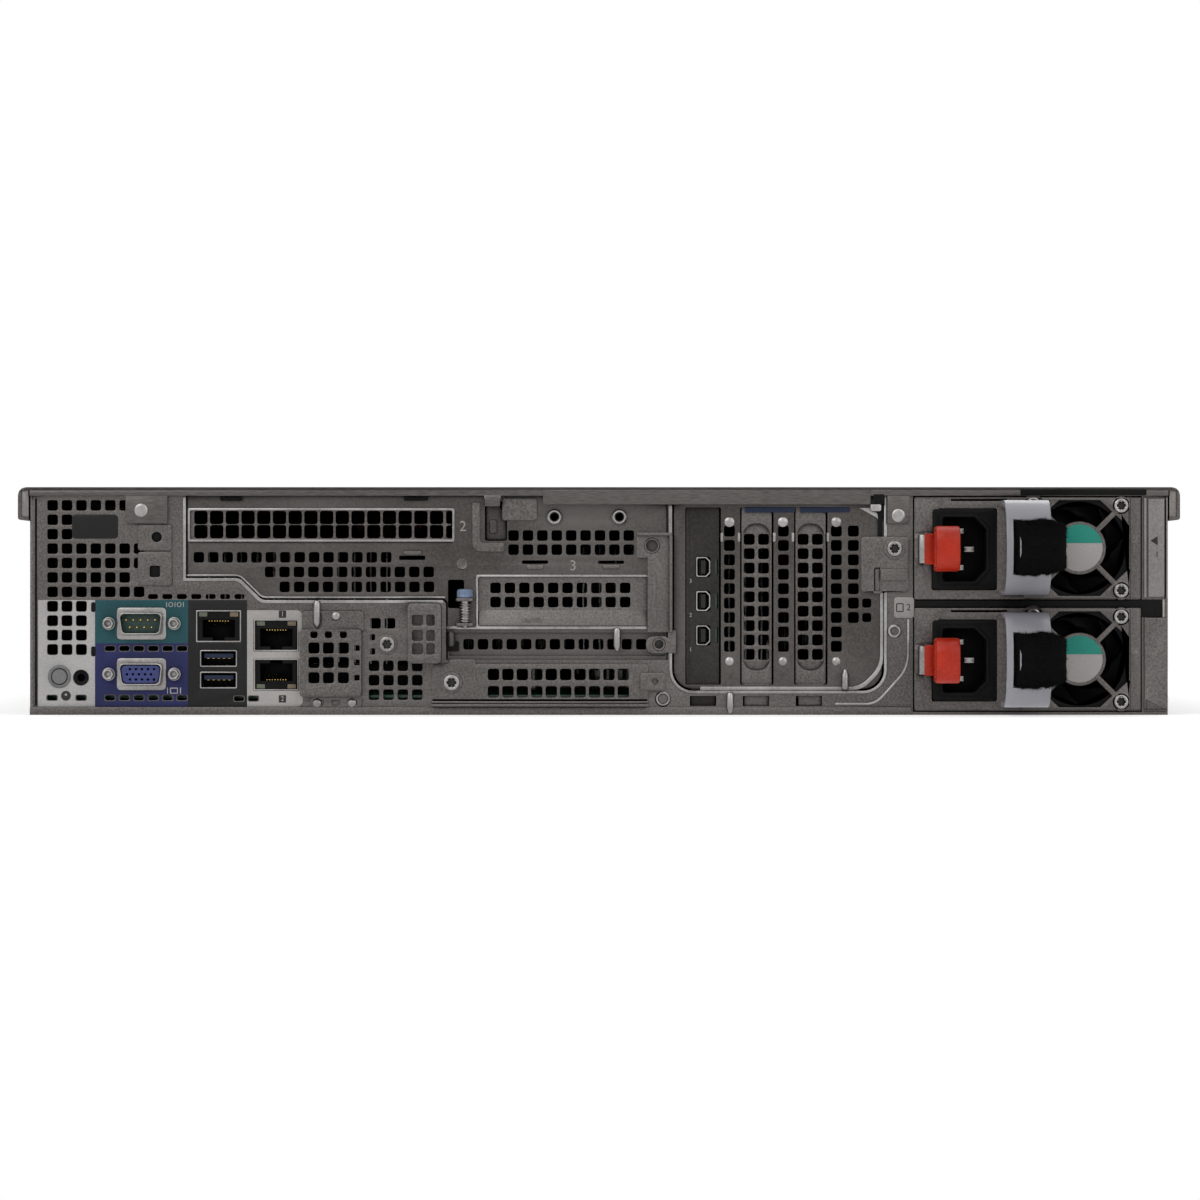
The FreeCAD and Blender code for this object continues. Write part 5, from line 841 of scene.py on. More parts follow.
# %% Vent shield
shield_cols = [108.5, 114.0, 119.7]
shield_rows = [14.2, 20.0, 25.5]
shield_holes = squares(shield_cols, shield_rows, 4.1) + squares(shield_cols, [30.6], 2.6)
shield_holes += squares([124.9], shield_rows, 2.0, 0.3)
shield_face = pushed(rounded(103.0, 126.6, 6.9, 32.6, 1.2), shield_holes, 2.8, 4.0, rim=0.3)
shield_sides = pushed(rounded(103.0, 126.6, 6.9, 32.6, 1.2), [rounded(103.8, 125.8, 7.7, 31.8, 0.8)],
                      0.0, 3.0, rim=0.1)
shield_tab = pushed(softened([(103.8, 32.0), (127.4, 32.0), (127.4, 39.6, 1.5), (103.8, 39.6, 1.5)]),
                    [rounded(109.0, 111.2, 33.0, 39.0, 0.8)], 0, 1.2, rim=0.25)
shield_foot = pushed(softened([(106.8, 3.0, 1.0), (126.6, 3.0, 1.0), (126.6, 7.2), (106.8, 7.2)]),
                     [rounded(u - 1.6, u + 1.6, 3.6, 5.6, 0.5) for u in (110.4, 116.7, 123.2)], 0, 1.2,
                     rim=0.25)
keep("vent_shield_box", [shield_face, shield_sides, shield_tab, shield_foot], plated,
     stands_for=("vent_shield",))
rivet = [(0, 0.75), (0.9, 0.7), (1.5, 0.45), (1.8, 0.0)]
keep("shield_rivets", [turned(rivet, u, z, 1.15, sides=18) for u, z in
                       ((116.7, 37.6), (109.5, 4.6), (122.8, 4.6))], bright)

# %% Release guard
guard_outline = rounded(144.2, 157.1, 19.6, 42.6, 1.6)
guard_rows = [36.1, 30.3, 25.2]
guard_holes = squares([148.0], guard_rows) + [centred(153.0, z, 1.5, 2.0, 0.6) for z in guard_rows]
keep("release_guard", [pushed(guard_outline, guard_holes, 6.8, 8.0, rim=0.4),
                       pushed(guard_outline, [rounded(145.4, 155.9, 20.8, 41.4, 0.8)], 0.0, 7.0,
                              rim=0.1)], plated, stands_for=("riser_latch_box",))
keep("release_bar", [turned([(0, 0), (1.1, 0.2), (1.5, 0.8), (1.5, 5.2), (1.1, 5.8), (0, 6.0)],
                            160.6, 26.0, 0.9, axis="up", sides=18)], shaded_plated)

# %% Card retainer
clip_u0, clip_u1, clip_z0, clip_z1 = 231.3, 245.0, 31.5, 69.5
clip = [(clip_u0, 59.9), (235.5, 59.9), (235.5, clip_z0), (clip_u1, clip_z0), (clip_u1, clip_z1),
        (clip_u0, clip_z1, 1.5)]
keep("retainer_clip", [pushed(softened(clip), [ring(237.2, 64.5, 2.1)], 0.0, 1.2, rim=0.2),
                       plate((clip_u0, clip_u1, clip_z1 - sheet, clip_z1, 0.5), 1.0, 4.2, 0.3),
                       plate((clip_u1 - sheet, clip_u1, clip_z0, clip_z1 - 1.0, 0.5), 1.0, 4.2, 0.3),
                       turned([(2.1, 0.0), (2.3, 0.35), (2.8, 0.35), (3.1, 0.0)], 237.2, 64.5, 1.2),
                       plate((237.2, 238.8, 33.8, 54.5, 0.6), 1.1, 1.5, 0.18)],
     plated, stands_for=("card_retainer",))
keep("retainer_strip", [plate((243.3, 246.4, 23.4, 32.3, 0.6), 0, 0.9, 0.3),
                        pushed(rounded(234.9, 244.5, 23.4, 30.0, 2.4), [ring(239.9, 26.9, 1.5)],
                               0, 1.0, rim=0.3),
                        turned([(1.5, 0.0), (1.7, 0.5), (2.3, 0.6), (2.6, 0.0)], 239.9, 26.9, 1.0)],
     plated)
print("guards and clips built")

# %% [markdown]
# ## Second riser
# Three upright slots stand between strips of vents. The left slot holds a video card with a black
# bracket, the other two have fillers with a drawn pan. A drawn pan is a shallow tray pressed into the
# sheet, so its rim is a ring and its floor a second, pierced plate.

# %% Riser 2 panel
rows = steps(70.1, 26.1, -pitch)
strip_cols = [266.8, 287.4]
side_cols = [(307.6, rows), (314.1, rows[:7]), (319.2, rows[5:7])]
upright = {"card": (250.2, 263.2), "left": (271.1, 283.3), "right": (291.7, 303.9)}
panel_2_holes = [rounded(a - 0.2, b + 0.3, 11.5, 79.1, 0.5) for a, b in upright.values()]
for u in strip_cols:
    panel_2_holes += squares([u], rows, 4.1)
for u, picked in side_cols:
    panel_2_holes += squares([u], picked, 4.1 if u < 318 else 3.4)
lap_2 = [(245.6, 9.9, 7.4), (325.0, 9.9, 7.4), (325.0, 83.4), (245.6, 83.4)]
# The darker steel here is painted shade for the recessed panel.
keep("riser_2_sheet", [pushed(softened(lap_2, 8), panel_2_holes, -2.4, -1.2, rim=0.2)], shaded_plated,
     stands_for=("riser_2_panel",))
dimples = [turned([(0, 0.5), (shoulder, 0.45), (foot, 0.0)], u, z, -1.2, sides=20)
           for z, shoulder, foot in ((73.6, 1.2, 1.9), (20.4, 1.0, 1.6)) for u in (266.8, 287.2, 307.6)]
notches = [plate((u - 0.5, u + 0.5, 66.0, 69.5, 0.3), -1.3, -0.7, 0.2)
           for u in (263.9, 270.4, 283.9, 291.0, 304.4)]
keep("riser_2_pressings", dimples + notches, bright)
keep("riser_2_numerals", [numeral(text, u, 14.6, 3.6, -1.22, 0.12)
                          for text, u in (("4", 267.0), ("5", 287.4), ("6", 307.8))], shaded_plated)
touch = [plate((a, b, 77.2, 79.2, 0.3), -1.25, -1.0, 0.08)
         for a, b in ((272.7, 291.8), (293.7, 312.7))]
keep("touch_strips", touch, foils["touch_blue"])
# The bead is a real fold; its bright steel is a painted highlight along the rolled edge.
arc = [(315.8, 79.1), (320.4, 79.1), (325.7, 75.3, 4.0), (325.7, 17.7, 12.0), (317.3, 9.2, 10.0),
       (255.5, 9.2), (255.5, 10.8), (316.6, 10.8, 9.0), (324.2, 18.4, 11.0), (324.2, 74.5, 3.5)]
keep("riser_2_bead_highlit", [pushed(softened(arc, 8), [], -1.3, -0.6, rim=0.3)], bright)

# %% Upright fillers
filler_parts = []
for a, b in (upright["left"], upright["right"]):
    middle = (a + b) / 2
    mouth = rounded(a + 1.0, b - 1.0, 16.9, 73.0, 4.4, 7)
    pan = rounded(a + 0.5, b - 0.5, 16.4, 73.5, 4.8, 7)
    vents = squares([middle - 2.75, middle + 2.75], steps(67.0, 23.0, -pitch), 4.1)
    foot = softened([(middle - 4.7, 3.3, 0.8), (middle + 4.7, 3.3, 0.8), (middle + 4.7, 12.0),
                     (middle - 4.7, 12.0)])
    filler_parts += [pushed(rounded(a + 0.3, b - 0.3, 11.5, 79.4), [mouth], -3.6, -2.4, rim=0.25),
                     pushed(pan, [mouth], -4.8, -3.5, rim=0.1),
                     pushed(pan, vents, -6.0, -4.8, rim=0.2),
                     pushed(foot, [], -3.6, -2.4, rim=0.2)]
keep("upright_filler_plates", filler_parts, plated, stands_for=("upright_slot_fillers",))

# %% [markdown]
# The video card's bracket is blackened steel with three small ports. Each port is a bright can with a
# black tongue. Beside each is a narrow vent. Behind the bracket are the board and a heat sink.

# %% Video card
card_left, card_right = upright["card"]
card_middle = (card_left + card_right) / 2 + 0.1
port_z = [56.4, 43.4, 30.3]
card_holes = [centred(card_middle, z, 2.8, 3.9, 0.9) for z in port_z]
card_holes += [rounded(card_right - 1.9, card_right - 0.8, z - 3.0, z + 3.0, 0.4) for z in port_z]
bracket = [pushed(rounded(card_left, card_right - 0.3, 11.5, 79.4), card_holes, -3.6, -2.4, rim=0.2),
           plate((card_middle - 4.7, card_middle + 4.7, 3.3, 12.0), -3.6, -2.4, 0.2),
           plate((card_left, card_left + sheet, 14.0, 77.0), -2.6, -1.9, 0.3)]
keep("card_bracket", bracket, blackened, stands_for=("video_card",))
port_loop = [(-2.7, 3.8, 0.7), (1.2, 3.8, 0.7), (2.7, 2.3, 0.7), (2.7, -2.3, 0.7), (1.2, -3.8, 0.7),
             (-2.7, -3.8, 0.7)]


def port_outline(z, grow):
    """Mouth of a small video port at a height, grown or shrunk."""
    scale_u, scale_z = 1 + grow / 2.7, 1 + grow / 3.8
    return softened([(card_middle + p * scale_u, z + q * scale_z, r) for p, q, r in port_loop], 4)


keep("card_port_cans", [pushed(port_outline(z, 0), [port_outline(z, -0.45)], -12.0, -1.8, rim=0.15)
                        for z in port_z], bright)
tongues = [pushed(centred(card_middle, z, 0.9, 2.6, 0.3), [], -11.0, -3.0, rim=0.2) for z in port_z]
tongues += [pushed(port_outline(z, -0.4), [], -12.5, -11.0, rim=0.1) for z in port_z]
keep("card_port_tongues", tongues, glossy_black)
keep("card_numerals", [numeral(text, card_left + 1.8, z - 5.4, 2.2, -2.42, 0.06)
                       for text, z in zip("321", port_z)], foils["grey"])
keep("card_board", [plate((card_right - 2.6, card_right - 1.0, 15.5, 77.5, 1.0), -170.0, -3.7, 0.1)],
     board_green)
sink = [plate((card_right - 5.6, card_right - 2.6, 17.0, 76.0), -134.0, -44.0, 0.2)]
sink += [plate((card_right - 11.6, card_right - 5.5, z, z + 0.7), -134.0, -44.0, 0.1)
         for z in steps(17.5, 74.7, 2.6)]
keep("card_heat_sink", sink, fins)
print("second riser built")

# %% [markdown]
# ## Power supplies
# Two identical supplies slide into the bays. Each has a steel face with a three-pin inlet, an orange
# thumb loop on a sprung tongue, a milky arched handle with a hook-and-loop strap, and a fan behind a
# wire-thin guard. One function builds all of it at the floor height of its bay.

# %% Case and guard
bay_floor = [1.6, 44.0]
case_left, case_right = 337.2, 423.6
case_tall = 39.2
fan_u = case_left + 62.9


def eight_sided(floor_z, grow=0.0):
    """Opening of the fan guard, cut a little flat at the top and the foot."""
    middle = floor_z + case_tall / 2
    loop = ring(fan_u, middle, (18.9 + grow) / math.cos(math.pi / 8), 8, math.pi / 8)
    return [(u, max(middle - 18.2 - grow, min(middle + 18.2 + grow, z))) for u, z in loop]


def supply_case(unit, floor_z):
    body = f"psu_{unit}"
    middle = floor_z + case_tall / 2
    lo_u, hi_u, hi_z = case_left, case_right, floor_z + case_tall
    outline = rounded(lo_u, hi_u, floor_z, hi_z, 0.6)
    inlet = (lo_u + 6.75, lo_u + 31.45, floor_z + 3.65, floor_z + 34.65)
    tongue_slot = rounded(lo_u + 1.1, lo_u + 3.5, floor_z + 13.5, floor_z + 24.9, 0.4)
    top_slot = rounded(lo_u + 14.0, lo_u + 35.5, hi_z - 1.6, hi_z - 0.9, 0.3)
    face = pushed(outline, [rounded(*inlet, 0.5), eight_sided(floor_z, 0.3), tongue_slot, top_slot],
                  -0.2, 0.8, rim=0.25)
    shell = pushed(outline, [rounded(lo_u + 1.0, hi_u - 1.0, floor_z + 1.0, hi_z - 1.0, 0.4)],
                   -193.2, -0.1, rim=0.2)
    back = pushed(outline, [], -194.2, -193.1, rim=0.2)
    bump = pushed(softened([(0.2, middle + 6.5), (1.6, middle + 4.0, 1.5), (1.6, middle - 4.0, 1.5),
                            (0.2, middle - 6.5)]), [], lo_u + 0.2, lo_u + 3.4, "side", rim=0.1)
    keep(f"{body}_shell", [face, shell, back, bump], plated, body, (f"{body}_case",))
    plate_top = pushed(softened([(lo_u + 0.4, hi_z - 13.5), (lo_u + 9.3, hi_z - 13.5, 0.8),
                                 (lo_u + 9.3, hi_z - 0.6, 0.8), (lo_u + 0.4, hi_z - 0.6)]), [], 0.7, 1.1,
                       rim=0.18)
    side_strip = plate((hi_u - 4.2, hi_u - 0.3, floor_z + 0.4, hi_z - 0.4, 0.5), 0.7, 1.4, 0.3)
    spring = pushed(softened([(1.2, middle + 5.0), (2.0, middle + 2.0, 1.5), (2.0, middle - 2.0, 1.5),
                              (1.2, middle - 5.0)]), [], hi_u - 3.4, hi_u - 1.4, "side", rim=0.1)
    keep(f"{body}_trim", [plate_top, side_strip, spring], plated, body)
    edge = plate((lo_u + 8.0, hi_u - 8.0, floor_z + 8.0, floor_z + 9.6, 0.3), -202.2, -194.2, 0.1)
    keep(f"{body}_card_edge", [edge], board_green, body)
    fingers = [plate((u, u + 1.6, floor_z + 7.94, floor_z + 9.66), -201.5, -195.0, 0.03)
               for u in steps(lo_u + 10.0, hi_u - 12.4, 2.6)]
    keep(f"{body}_card_fingers", fingers, gold, body)


def supply_guard(unit, floor_z):
    body = f"psu_{unit}"
    middle = floor_z + case_tall / 2
    spots = [(fan_u - 17.6, middle + 16.6), (fan_u + 15.9, middle + 16.2), (fan_u + 15.9, middle - 16.2)]
    lo_u, hi_u = fan_u - 21.3, case_right - 4.2
    guard = [pushed(softened([(lo_u, floor_z + 0.3, 1.0), (hi_u, floor_z + 0.3, 1.0),
                              (hi_u, floor_z + 38.9, 1.0), (lo_u, floor_z + 38.9, 1.0)]),
                    [eight_sided(floor_z)] + [ring(u, z, 3.6, 24) for u, z in spots], 0.8, 2.0, rim=0.35)]
    for k in range(4):
        turn = math.radians(45 + 90 * k)
        along = Vector((math.cos(turn), math.sin(turn)))
        across = Vector((-along.y, along.x))
        loop = [tuple(Vector((fan_u, middle)) + along * reach + across * side)
                for reach, side in ((9, -1), (21, -1), (21, 1), (9, 1))]
        guard.append(pushed(loop, [], 0.85, 1.9, rim=0.3))
    guard.append(turned([(0, 1.5), (8.6, 1.5), (9.1, 1.7), (10.0, 1.6), (10.3, 1.1), (10.3, -0.2)], fan_u,
                        middle, 0.0, sides=48))
    keep(f"{body}_guard", guard, plated, body)
    disc = [(fan_u + 9.2 * math.cos(t), middle + 9.2 * math.sin(t))
            for t in (math.radians(12 + 156 * i / 20) for i in range(21))]
    keep(f"{body}_hub_label", [pushed(ring(fan_u, middle, 9.25, 48), [], 1.45, 1.6, rim=0.03)],
         foils["white"], body)
    keep(f"{body}_hub_band", [pushed(disc, [], 1.55, 1.68, rim=0.03)], foils["hub_teal"], body)
    screws(f"{body}_screws", [(u, z, 0.9, 2.8, 1.9) for u, z in spots], body)
    # Black discs under the guard's screw holes are painted shade round the screw heads; the housing
    # beside them is real black plastic.
    screw_shade_discs = [pushed(ring(u, z, 3.9, 24), [], 0.6, 0.95, rim=0.05) for u, z in spots]
    housing = pushed(centred(fan_u, middle, 19.4, 19.0, 1.0),
                     [ring(fan_u, middle, 17.7, 48)], -3.0, -0.3, rim=0.2)
    keep(f"{body}_fan_housing_and_screw_shade", screw_shade_discs + [housing], black_plastic, body)


for number, height in enumerate(bay_floor, 1):
    supply_case(number, height)
    supply_guard(number, height)
print("cases and guards built")

# %% [markdown]
# The fan behind the guard is black and lies in the shade. Its blades are made by extruding a short
# edge outwards in three steps, turning and shifting it a little at each step, which gives the twist
# of a real blade, and then giving the sheet a thickness.

# %% Fans
def wheel(u, z, out, hub, tip, depth, blades, lean=34.0):
    """Fan wheel: turned hub and twisted blades, its front at `out`."""
    bm = bmesh.new()
    half = depth * 0.42
    for k in range(blades):
        turn = Matrix.Rotation(2 * math.pi * k / blades, 4, "Z")
        edge = [bm.verts.new(turn @ Vector((hub * 0.97, y, w)))
                for y, w in ((-half * 0.9, -depth + 1.5), (0, -depth * 0.45), (half * 0.9, -1.5))]
        rim_edges = [bm.edges.new(pair) for pair in zip(edge, edge[1:])]
        for share in (0.35, 0.7, 1.0):
            grown = bmesh.ops.extrude_edge_only(bm, edges=rim_edges)["geom"]
            fresh = [g for g in grown if isinstance(g, bmesh.types.BMVert)]
            rim_edges = [g for g in grown if isinstance(g, bmesh.types.BMEdge)
                         and all(v in fresh for v in g.verts)]
            last = hub * 0.97 + (tip - hub * 0.97) * share
            for v in fresh:
                flat = turn.inverted() @ v.co
                angle = math.radians(lean * 0.34) + flat.y / last * 0.25
                radius = Vector((flat.x, flat.y)).length
                now = math.atan2(flat.y, flat.x) + angle * 0.5
                scale = last / radius
                v.co = turn @ Vector((radius * scale * math.cos(now), radius * scale * math.sin(now),
                                      flat.z * (1 - 0.08 * share) - 0.3 * share))
    bmesh.ops.recalc_face_normals(bm, faces=bm.faces)
    bmesh.ops.solidify(bm, geom=bm.faces[:], thickness=1.0)
    bmesh.ops.scale(bm, vec=(mm, mm, mm), verts=bm.verts)
    spin = Matrix.Rotation(math.pi / 2, 4, "X")
    bm.transform(Matrix.Translation(spot(u, z, out)) @ spin)
    bmesh.ops.recalc_face_normals(bm, faces=bm.faces)
    hub_mesh = turned([(0, -0.3), (hub - 1.2, -0.3), (hub, -1.4), (hub, -depth), (0, -depth)], u, z, out,
                      sides=40)
    return [to_mesh(bm), hub_mesh]


for number, height in enumerate(bay_floor, 1):
    keep(f"psu_{number}_wheel", wheel(fan_u, height + case_tall / 2, -1.0, 10.3, 16.9, 17.5, 7),
         black_plastic, f"psu_{number}_fan", (f"psu_{number}_fan_rotor",))
cooling_z = 42.4
cooling_u = [case_width / 2 + 96.0 * k for k in (-1.5, -0.5, 0.5, 1.5)]
for number, u in enumerate(cooling_u, 1):
    keep(f"cooling_wheel_{number}", wheel(u, cooling_z, -403.5, 17.0, 35.2, 28.0, 7),
         black_plastic, f"fan_{number}", (f"fan_rotor_{number}",))
print("fans built")

# %% [markdown]
# Each supply takes its mains lead in a black inlet: a frame round a deep socket with two cut corners
# and three flat blades. Beside it a moulded orange loop sits on a bent steel tongue, and a milky arched
# handle carries a hook-and-loop strap that holds the lead.

# %% Mains inlets and thumb loops
def socket_shape(u, z, grow=0.0):
    """Mouth of a mains inlet, with its two right corners cut off."""
    half_u, half_z, cut = 8.3 + grow, 12.2 + grow, 4.5 + grow * 0.6
    return softened([(u - half_u, z - half_z, 1.2), (u + half_u - cut, z - half_z, 0.8),
                     (u + half_u, z - half_z + cut, 0.8), (u + half_u, z + half_z - cut, 0.8),
                     (u + half_u - cut, z + half_z, 0.8), (u - half_u, z + half_z, 1.2)], 4)


def inlet(unit, floor_z):
    body = f"psu_{unit}"
    u, z = case_left + 19.1, floor_z + 19.15
    frame_piece = pushed(centred(u, z, 12.2, 15.35, 1.2, 5), [socket_shape(u, z)],
                         -1.0, 1.6, rim=0.4)
    collar = pushed(socket_shape(u, z, 1.3), [socket_shape(u, z)], 1.3, 2.3, rim=0.3)
    tube = pushed(socket_shape(u, z, 1.0), [socket_shape(u, z)], -14.5, 1.4, rim=0.1)
    floor = pushed(socket_shape(u, z, 1.0), [], -18.0, -14.4, rim=0.1)
    keep(f"{body}_inlet_body", [frame_piece, collar, tube, floor], black_plastic, body,
         (f"{body}_inlet",))
    blades = [pushed(centred(u + du, z + dz, 2.0, 1.0, 0.3), [], -14.5, -1.7,
                     rim=0.3) for du, dz in ((-2.0, 7.0), (-2.0, -7.0), (2.0, 0.0))]
    keep(f"{body}_inlet_blades", blades, bright, body)


def thumb_loop(unit, floor_z):
    body = f"psu_{unit}_latch"
    z = floor_z + 19.2
    lo_u, hi_u = case_left + 7.2, case_left + 16.4
    tongue = [pushed(softened([(338.5, -3.8), (338.5, 5.0, 1.8), (346.4, 5.0), (346.4, 4.0),
                               (339.6, 4.0, 0.8), (339.6, -3.8)]), [], z - 5.4, z + 5.4, "top", rim=0.15),
              turned([(0, 0), (0.8, 0), (0.8, 14.8), (0, 14.8)], 339.1, z - 7.4, -3.2, axis="up",
                     sides=16)]
    keep(f"psu_{unit}_tongue", tongue, bright, body, (f"psu_{unit}_latch",))
    arch = [(4.0, z - 8.6, 2.0), (21.0, z - 8.6, 6.0), (21.0, z + 8.6, 6.0), (4.0, z + 8.6, 2.0)]
    hollow = [(5.8, z - 6.8, 1.0), (19.2, z - 6.8, 4.4), (19.2, z + 6.8, 4.4), (5.8, z + 6.8, 1.0)]
    sleeve = plate((lo_u - 3.6, lo_u + 0.6, z - 5.9, z + 5.9, 0.8), 3.6, 5.6, 0.5)
    keep(f"psu_{unit}_loop", [pushed(softened(arch, 9), [softened(hollow, 9)], lo_u, hi_u, "side",
                                     rim=0.8), sleeve], orange, body)


for number, height in enumerate(bay_floor, 1):
    inlet(number, height)
    thumb_loop(number, height)
    dressed(f"psu_{number}_lead_handle", f"psu_{number}_handle", milky, f"psu_{number}", 0.5)
print("inlets, loops and handles built")

# %% [markdown]
# The strap is a thick woven band. Its section is swept round a closed path and pushed about by noise,
# so that its edges waver, and short pile of three-sided fibres stands on it, as on real hook-and-loop
# tape.

# %% Straps
def strap(unit, floor_z):
    middle = floor_z + case_tall / 2
    path = [Vector(p) for p in softened([(373.7, 26.7, 2.0), (391.7, 26.7, 4.0), (391.7, 33.7, 4.0),
                                         (373.7, 33.7, 3.5)], 9)]
    loop, left_over = [], 0.0
    for a, b in zip(path, path[1:] + path[:1]):
        gap = (b - a).length
        while left_over < gap:
            loop.append(a.lerp(b, left_over / gap))
            left_over += 0.45
        left_over -= gap
    bm = bmesh.new()
    rows = []
    count, around = len(loop), 56
    for i, here in enumerate(loop):
        along = (loop[(i + 1) % count] - loop[i - 1]).normalized()
        side = Vector((along.y, -along.x))
        half = 10.4 - 3.0 * (max(0, here.x - 384) / 8) ** 2 - 1.5 * (max(0, 378 - here.x) / 6) ** 2
        row = []
        for k in range(around):
            turn = 2 * math.pi * k / around
            across = math.copysign(abs(math.cos(turn)) ** 0.35, math.cos(turn)) * half
            thick = math.copysign(abs(math.sin(turn)) ** 0.6, math.sin(turn)) * 0.85
            spread = noise.noise(Vector((here.x, across, here.y)) * 0.45) * 0.8
            place = here + side * (thick + spread * 0.35)
            row.append(bm.verts.new((place.x, -place.y, middle + across + spread)))
        rows.append(row)
    for a, b in zip(rows, rows[1:] + rows[:1]):
        for k in range(around):
            after = (k + 1) % around
            bm.faces.new((a[k], a[after], b[after], b[k]))
    bmesh.ops.recalc_face_normals(bm, faces=bm.faces)
    bm.normal_update()
    for vert in list(bm.verts):
        lean = noise.random_unit_vector() * 0.9 + vert.normal
        tip = vert.co + lean * (0.3 + 0.6 * noise.random())
        foot = lean.orthogonal().normalized() * 0.08
        base = [bm.verts.new(vert.co + Matrix.Rotation(turn, 3, lean) @ foot) for turn in (0, 2.1, 4.2)]
        top = bm.verts.new(tip)
        for k in range(3):
            bm.faces.new((base[k], base[(k + 1) % 3], top))
    bmesh.ops.scale(bm, vec=(mm, mm, mm), verts=bm.verts)
    bm.transform(Matrix.Translation(spot(0, 0)))
    keep(f"psu_{unit}_hook_strap", [to_mesh(bm)], fuzzy, f"psu_{unit}", (f"psu_{unit}_strap",))
    return count * around


noise.seed_set(7)
for number, height in enumerate(bay_floor, 1):
    print("strap points:", strap(number, height))

# %% [markdown]
# Right of the supplies the wall shows a folded column with raised edges beside the upper supply, a gap in
# painted shade, and a plain cover plate beside the lower one. Holes, gaps and folds too small to hold a
# shadow of their own get painted shade: thin black strips, here and elsewhere on the wall.

# %% Right column
# The column's lighter steel is painted light on its raised face.
keep("right_column", [
    plate((426.4, 432.9, 44.9, 82.6, 0.4), 0, 0.9, 0.3),
    plate((424.7, 425.8, 44.5, 82.9, 0.4), 0, 1.5, 0.4),
    plate((433.2, 433.8, 44.5, 82.9, 0.2), -0.4, 1.4, 0.2)], lit_plated)
keep("lower_column", [pushed(softened([(424.9, 1.6), (424.9, 37.1, 0.6), (433.8, 37.1, 0.6),
                                       (433.8, 1.6)]), [rounded(424.8, 425.6, 2.3, 6.5)],
                             0, 1.1, rim=0.3)], plated)
# Painted shade: black strips in gaps, in folds and behind holes.
shade_boxes = [((419.5, 431.7, 37.2, 44.0), -1.1, 0.25), ((432.6, 433.2, 44.9, 82.2), -0.2, 1.0),
              ((336.8, 424.0, 41.2, 43.6), -0.2, 0.3), ((45.8, 49.6, 52.6, 56.8, 0.5), -0.2, 0.15),
              ((1.8, 2.7, 3.5, 82.6, 0.4), -0.2, 0.12), ((23.3, 25.0, 39.2, 43.0, 0.6), 0, 0.22),
              ((23.3, 25.0, 22.3, 26.1, 0.6), 0, 0.22), ((323.4, 325.3, 68.0, 80.3), -0.2, 0.2),
              ((142.6, 151.8, 81.6, 83.3, 0.5), -0.2, 0.15), ((72.5, 80.9, 81.6, 83.3, 0.5), -0.2, 0.15),
              ((158.3, 163.6, 24.2, 28.0, 0.5), -1.4, -1.1)]
gaps = [plate(box, start, end, 0.05) for box, start, end in shade_boxes]
keep("painted_shade_strips", gaps + [pushed(ring(48.4, 67.8, 1.9), [], -0.2, 0.15, rim=0.05)], black_plastic)
# Black strips on the cover's lip above the upper supply and at the second riser's top corner: painted
# shade where the lip lies in shadow.
keep("cover_lip_shade", [plate((377.6, 425.6, 83.7, 86.0), 2.3, 2.55, 0.05),
                      plate((321.5, 325.7, 80.6, 84.1, 0.4), 2.3, 2.5, 0.05)],
     black_plastic, "cover")
keep("column_edge", [plate((431.9, 432.7, 37.2, 44.0, 0.2), -1.0, 0.8, 0.2)],
     bright)
keep("supply_mark", [pushed([(427.3, 66.4), (430.0, 64.7), (430.0, 68.2)], [], 0.85, 1.02, rim=0.03)],
     foils["ink"])
keep("supply_number", [numeral("1", 429.8, 61.1, 3.2, 0.9, 0.12)], foils["ink"])
keep("lower_supply_label", [plate((329.5, 337.2, 36.9, 44.9, 1.0), 0, 0.35, 0.15)],
     lit_plated)
square_mark = pushed(rounded(330.3, 333.2, 39.2, 42.6, 0.4), [rounded(330.7, 332.8, 39.6, 42.2, 0.2)],
                     0.35, 0.42, rim=0.02)
keep("lower_supply_mark", [numeral("2", 335.1, 40.9, 3.6, 0.36, 0.05), square_mark], foils["ink"])
print("right column built")

# %% [markdown]
# ## Inside
# Through the vents you can see a little of the inside, and with the cover off all of it: the board
# with its sockets, two finned coolers, memory, four fans and the drive cage. Their solids are dressed,
# and small parts are set on them.

# %% Board, coolers and memory
dressed("board", "main_board", board_green, "chassis", 0.2)
board_top = 7.6


def block(u0, u1, out0, out1, z0, z1, rim=0.2):
    """Box standing on the board, with soft edges."""
    return pushed(rounded(u0, u1, out0, out1, 0.3, 2), [], z0, z1, "top", rim=rim)


chips = [block(60, 78, -60, -42, board_top, 9.2), block(100, 124, -130, -106, board_top, 10.0),
         block(20, 32, -190, -178, board_top, 9.0), block(262, 276, -60, -46, board_top, 9.2)]
chips += [block(u, u + 7, -150, -139, board_top, 8.8) for u in steps(200, 290, 15)]
keep("board_chips", chips, glossy_black)
sockets = [block(88, 150, -92, -84, board_top, 18.0), block(88, 150, -112, -104, board_top, 18.0),
           block(250, 312, -92, -84, board_top, 18.0)]
sockets += [block(20 + 14 * k, 32 + 14 * k, -226, -218, board_top, 16.0) for k in range(3)]
keep("board_sockets", sockets, black_plastic)
cans = [turned([(0, 9.5), (2.6, 9.4), (3.0, 9.0), (3.0, 0), (0, 0)], u, board_top, out, axis="up",
               sides=20)
        for u, out in [(u, -252.0) for u in steps(50, 122, 9) + steps(212, 284, 9)]
        + [(190, out) for out in steps(-200, -164, 9)]]
keep("board_capacitors", cans, bright)
bolts = [turned([(0, 1.2), (2.2, 1.1), (2.8, 0.5), (2.8, 0)], u, board_top, out, axis="up", sides=16)
         for u in (11.0, 167.8, 324.6) for out in (-14.0, -196.0, -378.0)]
keep("board_bolts", bolts, bright)
dressed("cooler_fins", "processor_coolers", fins, "chassis", 0.15)
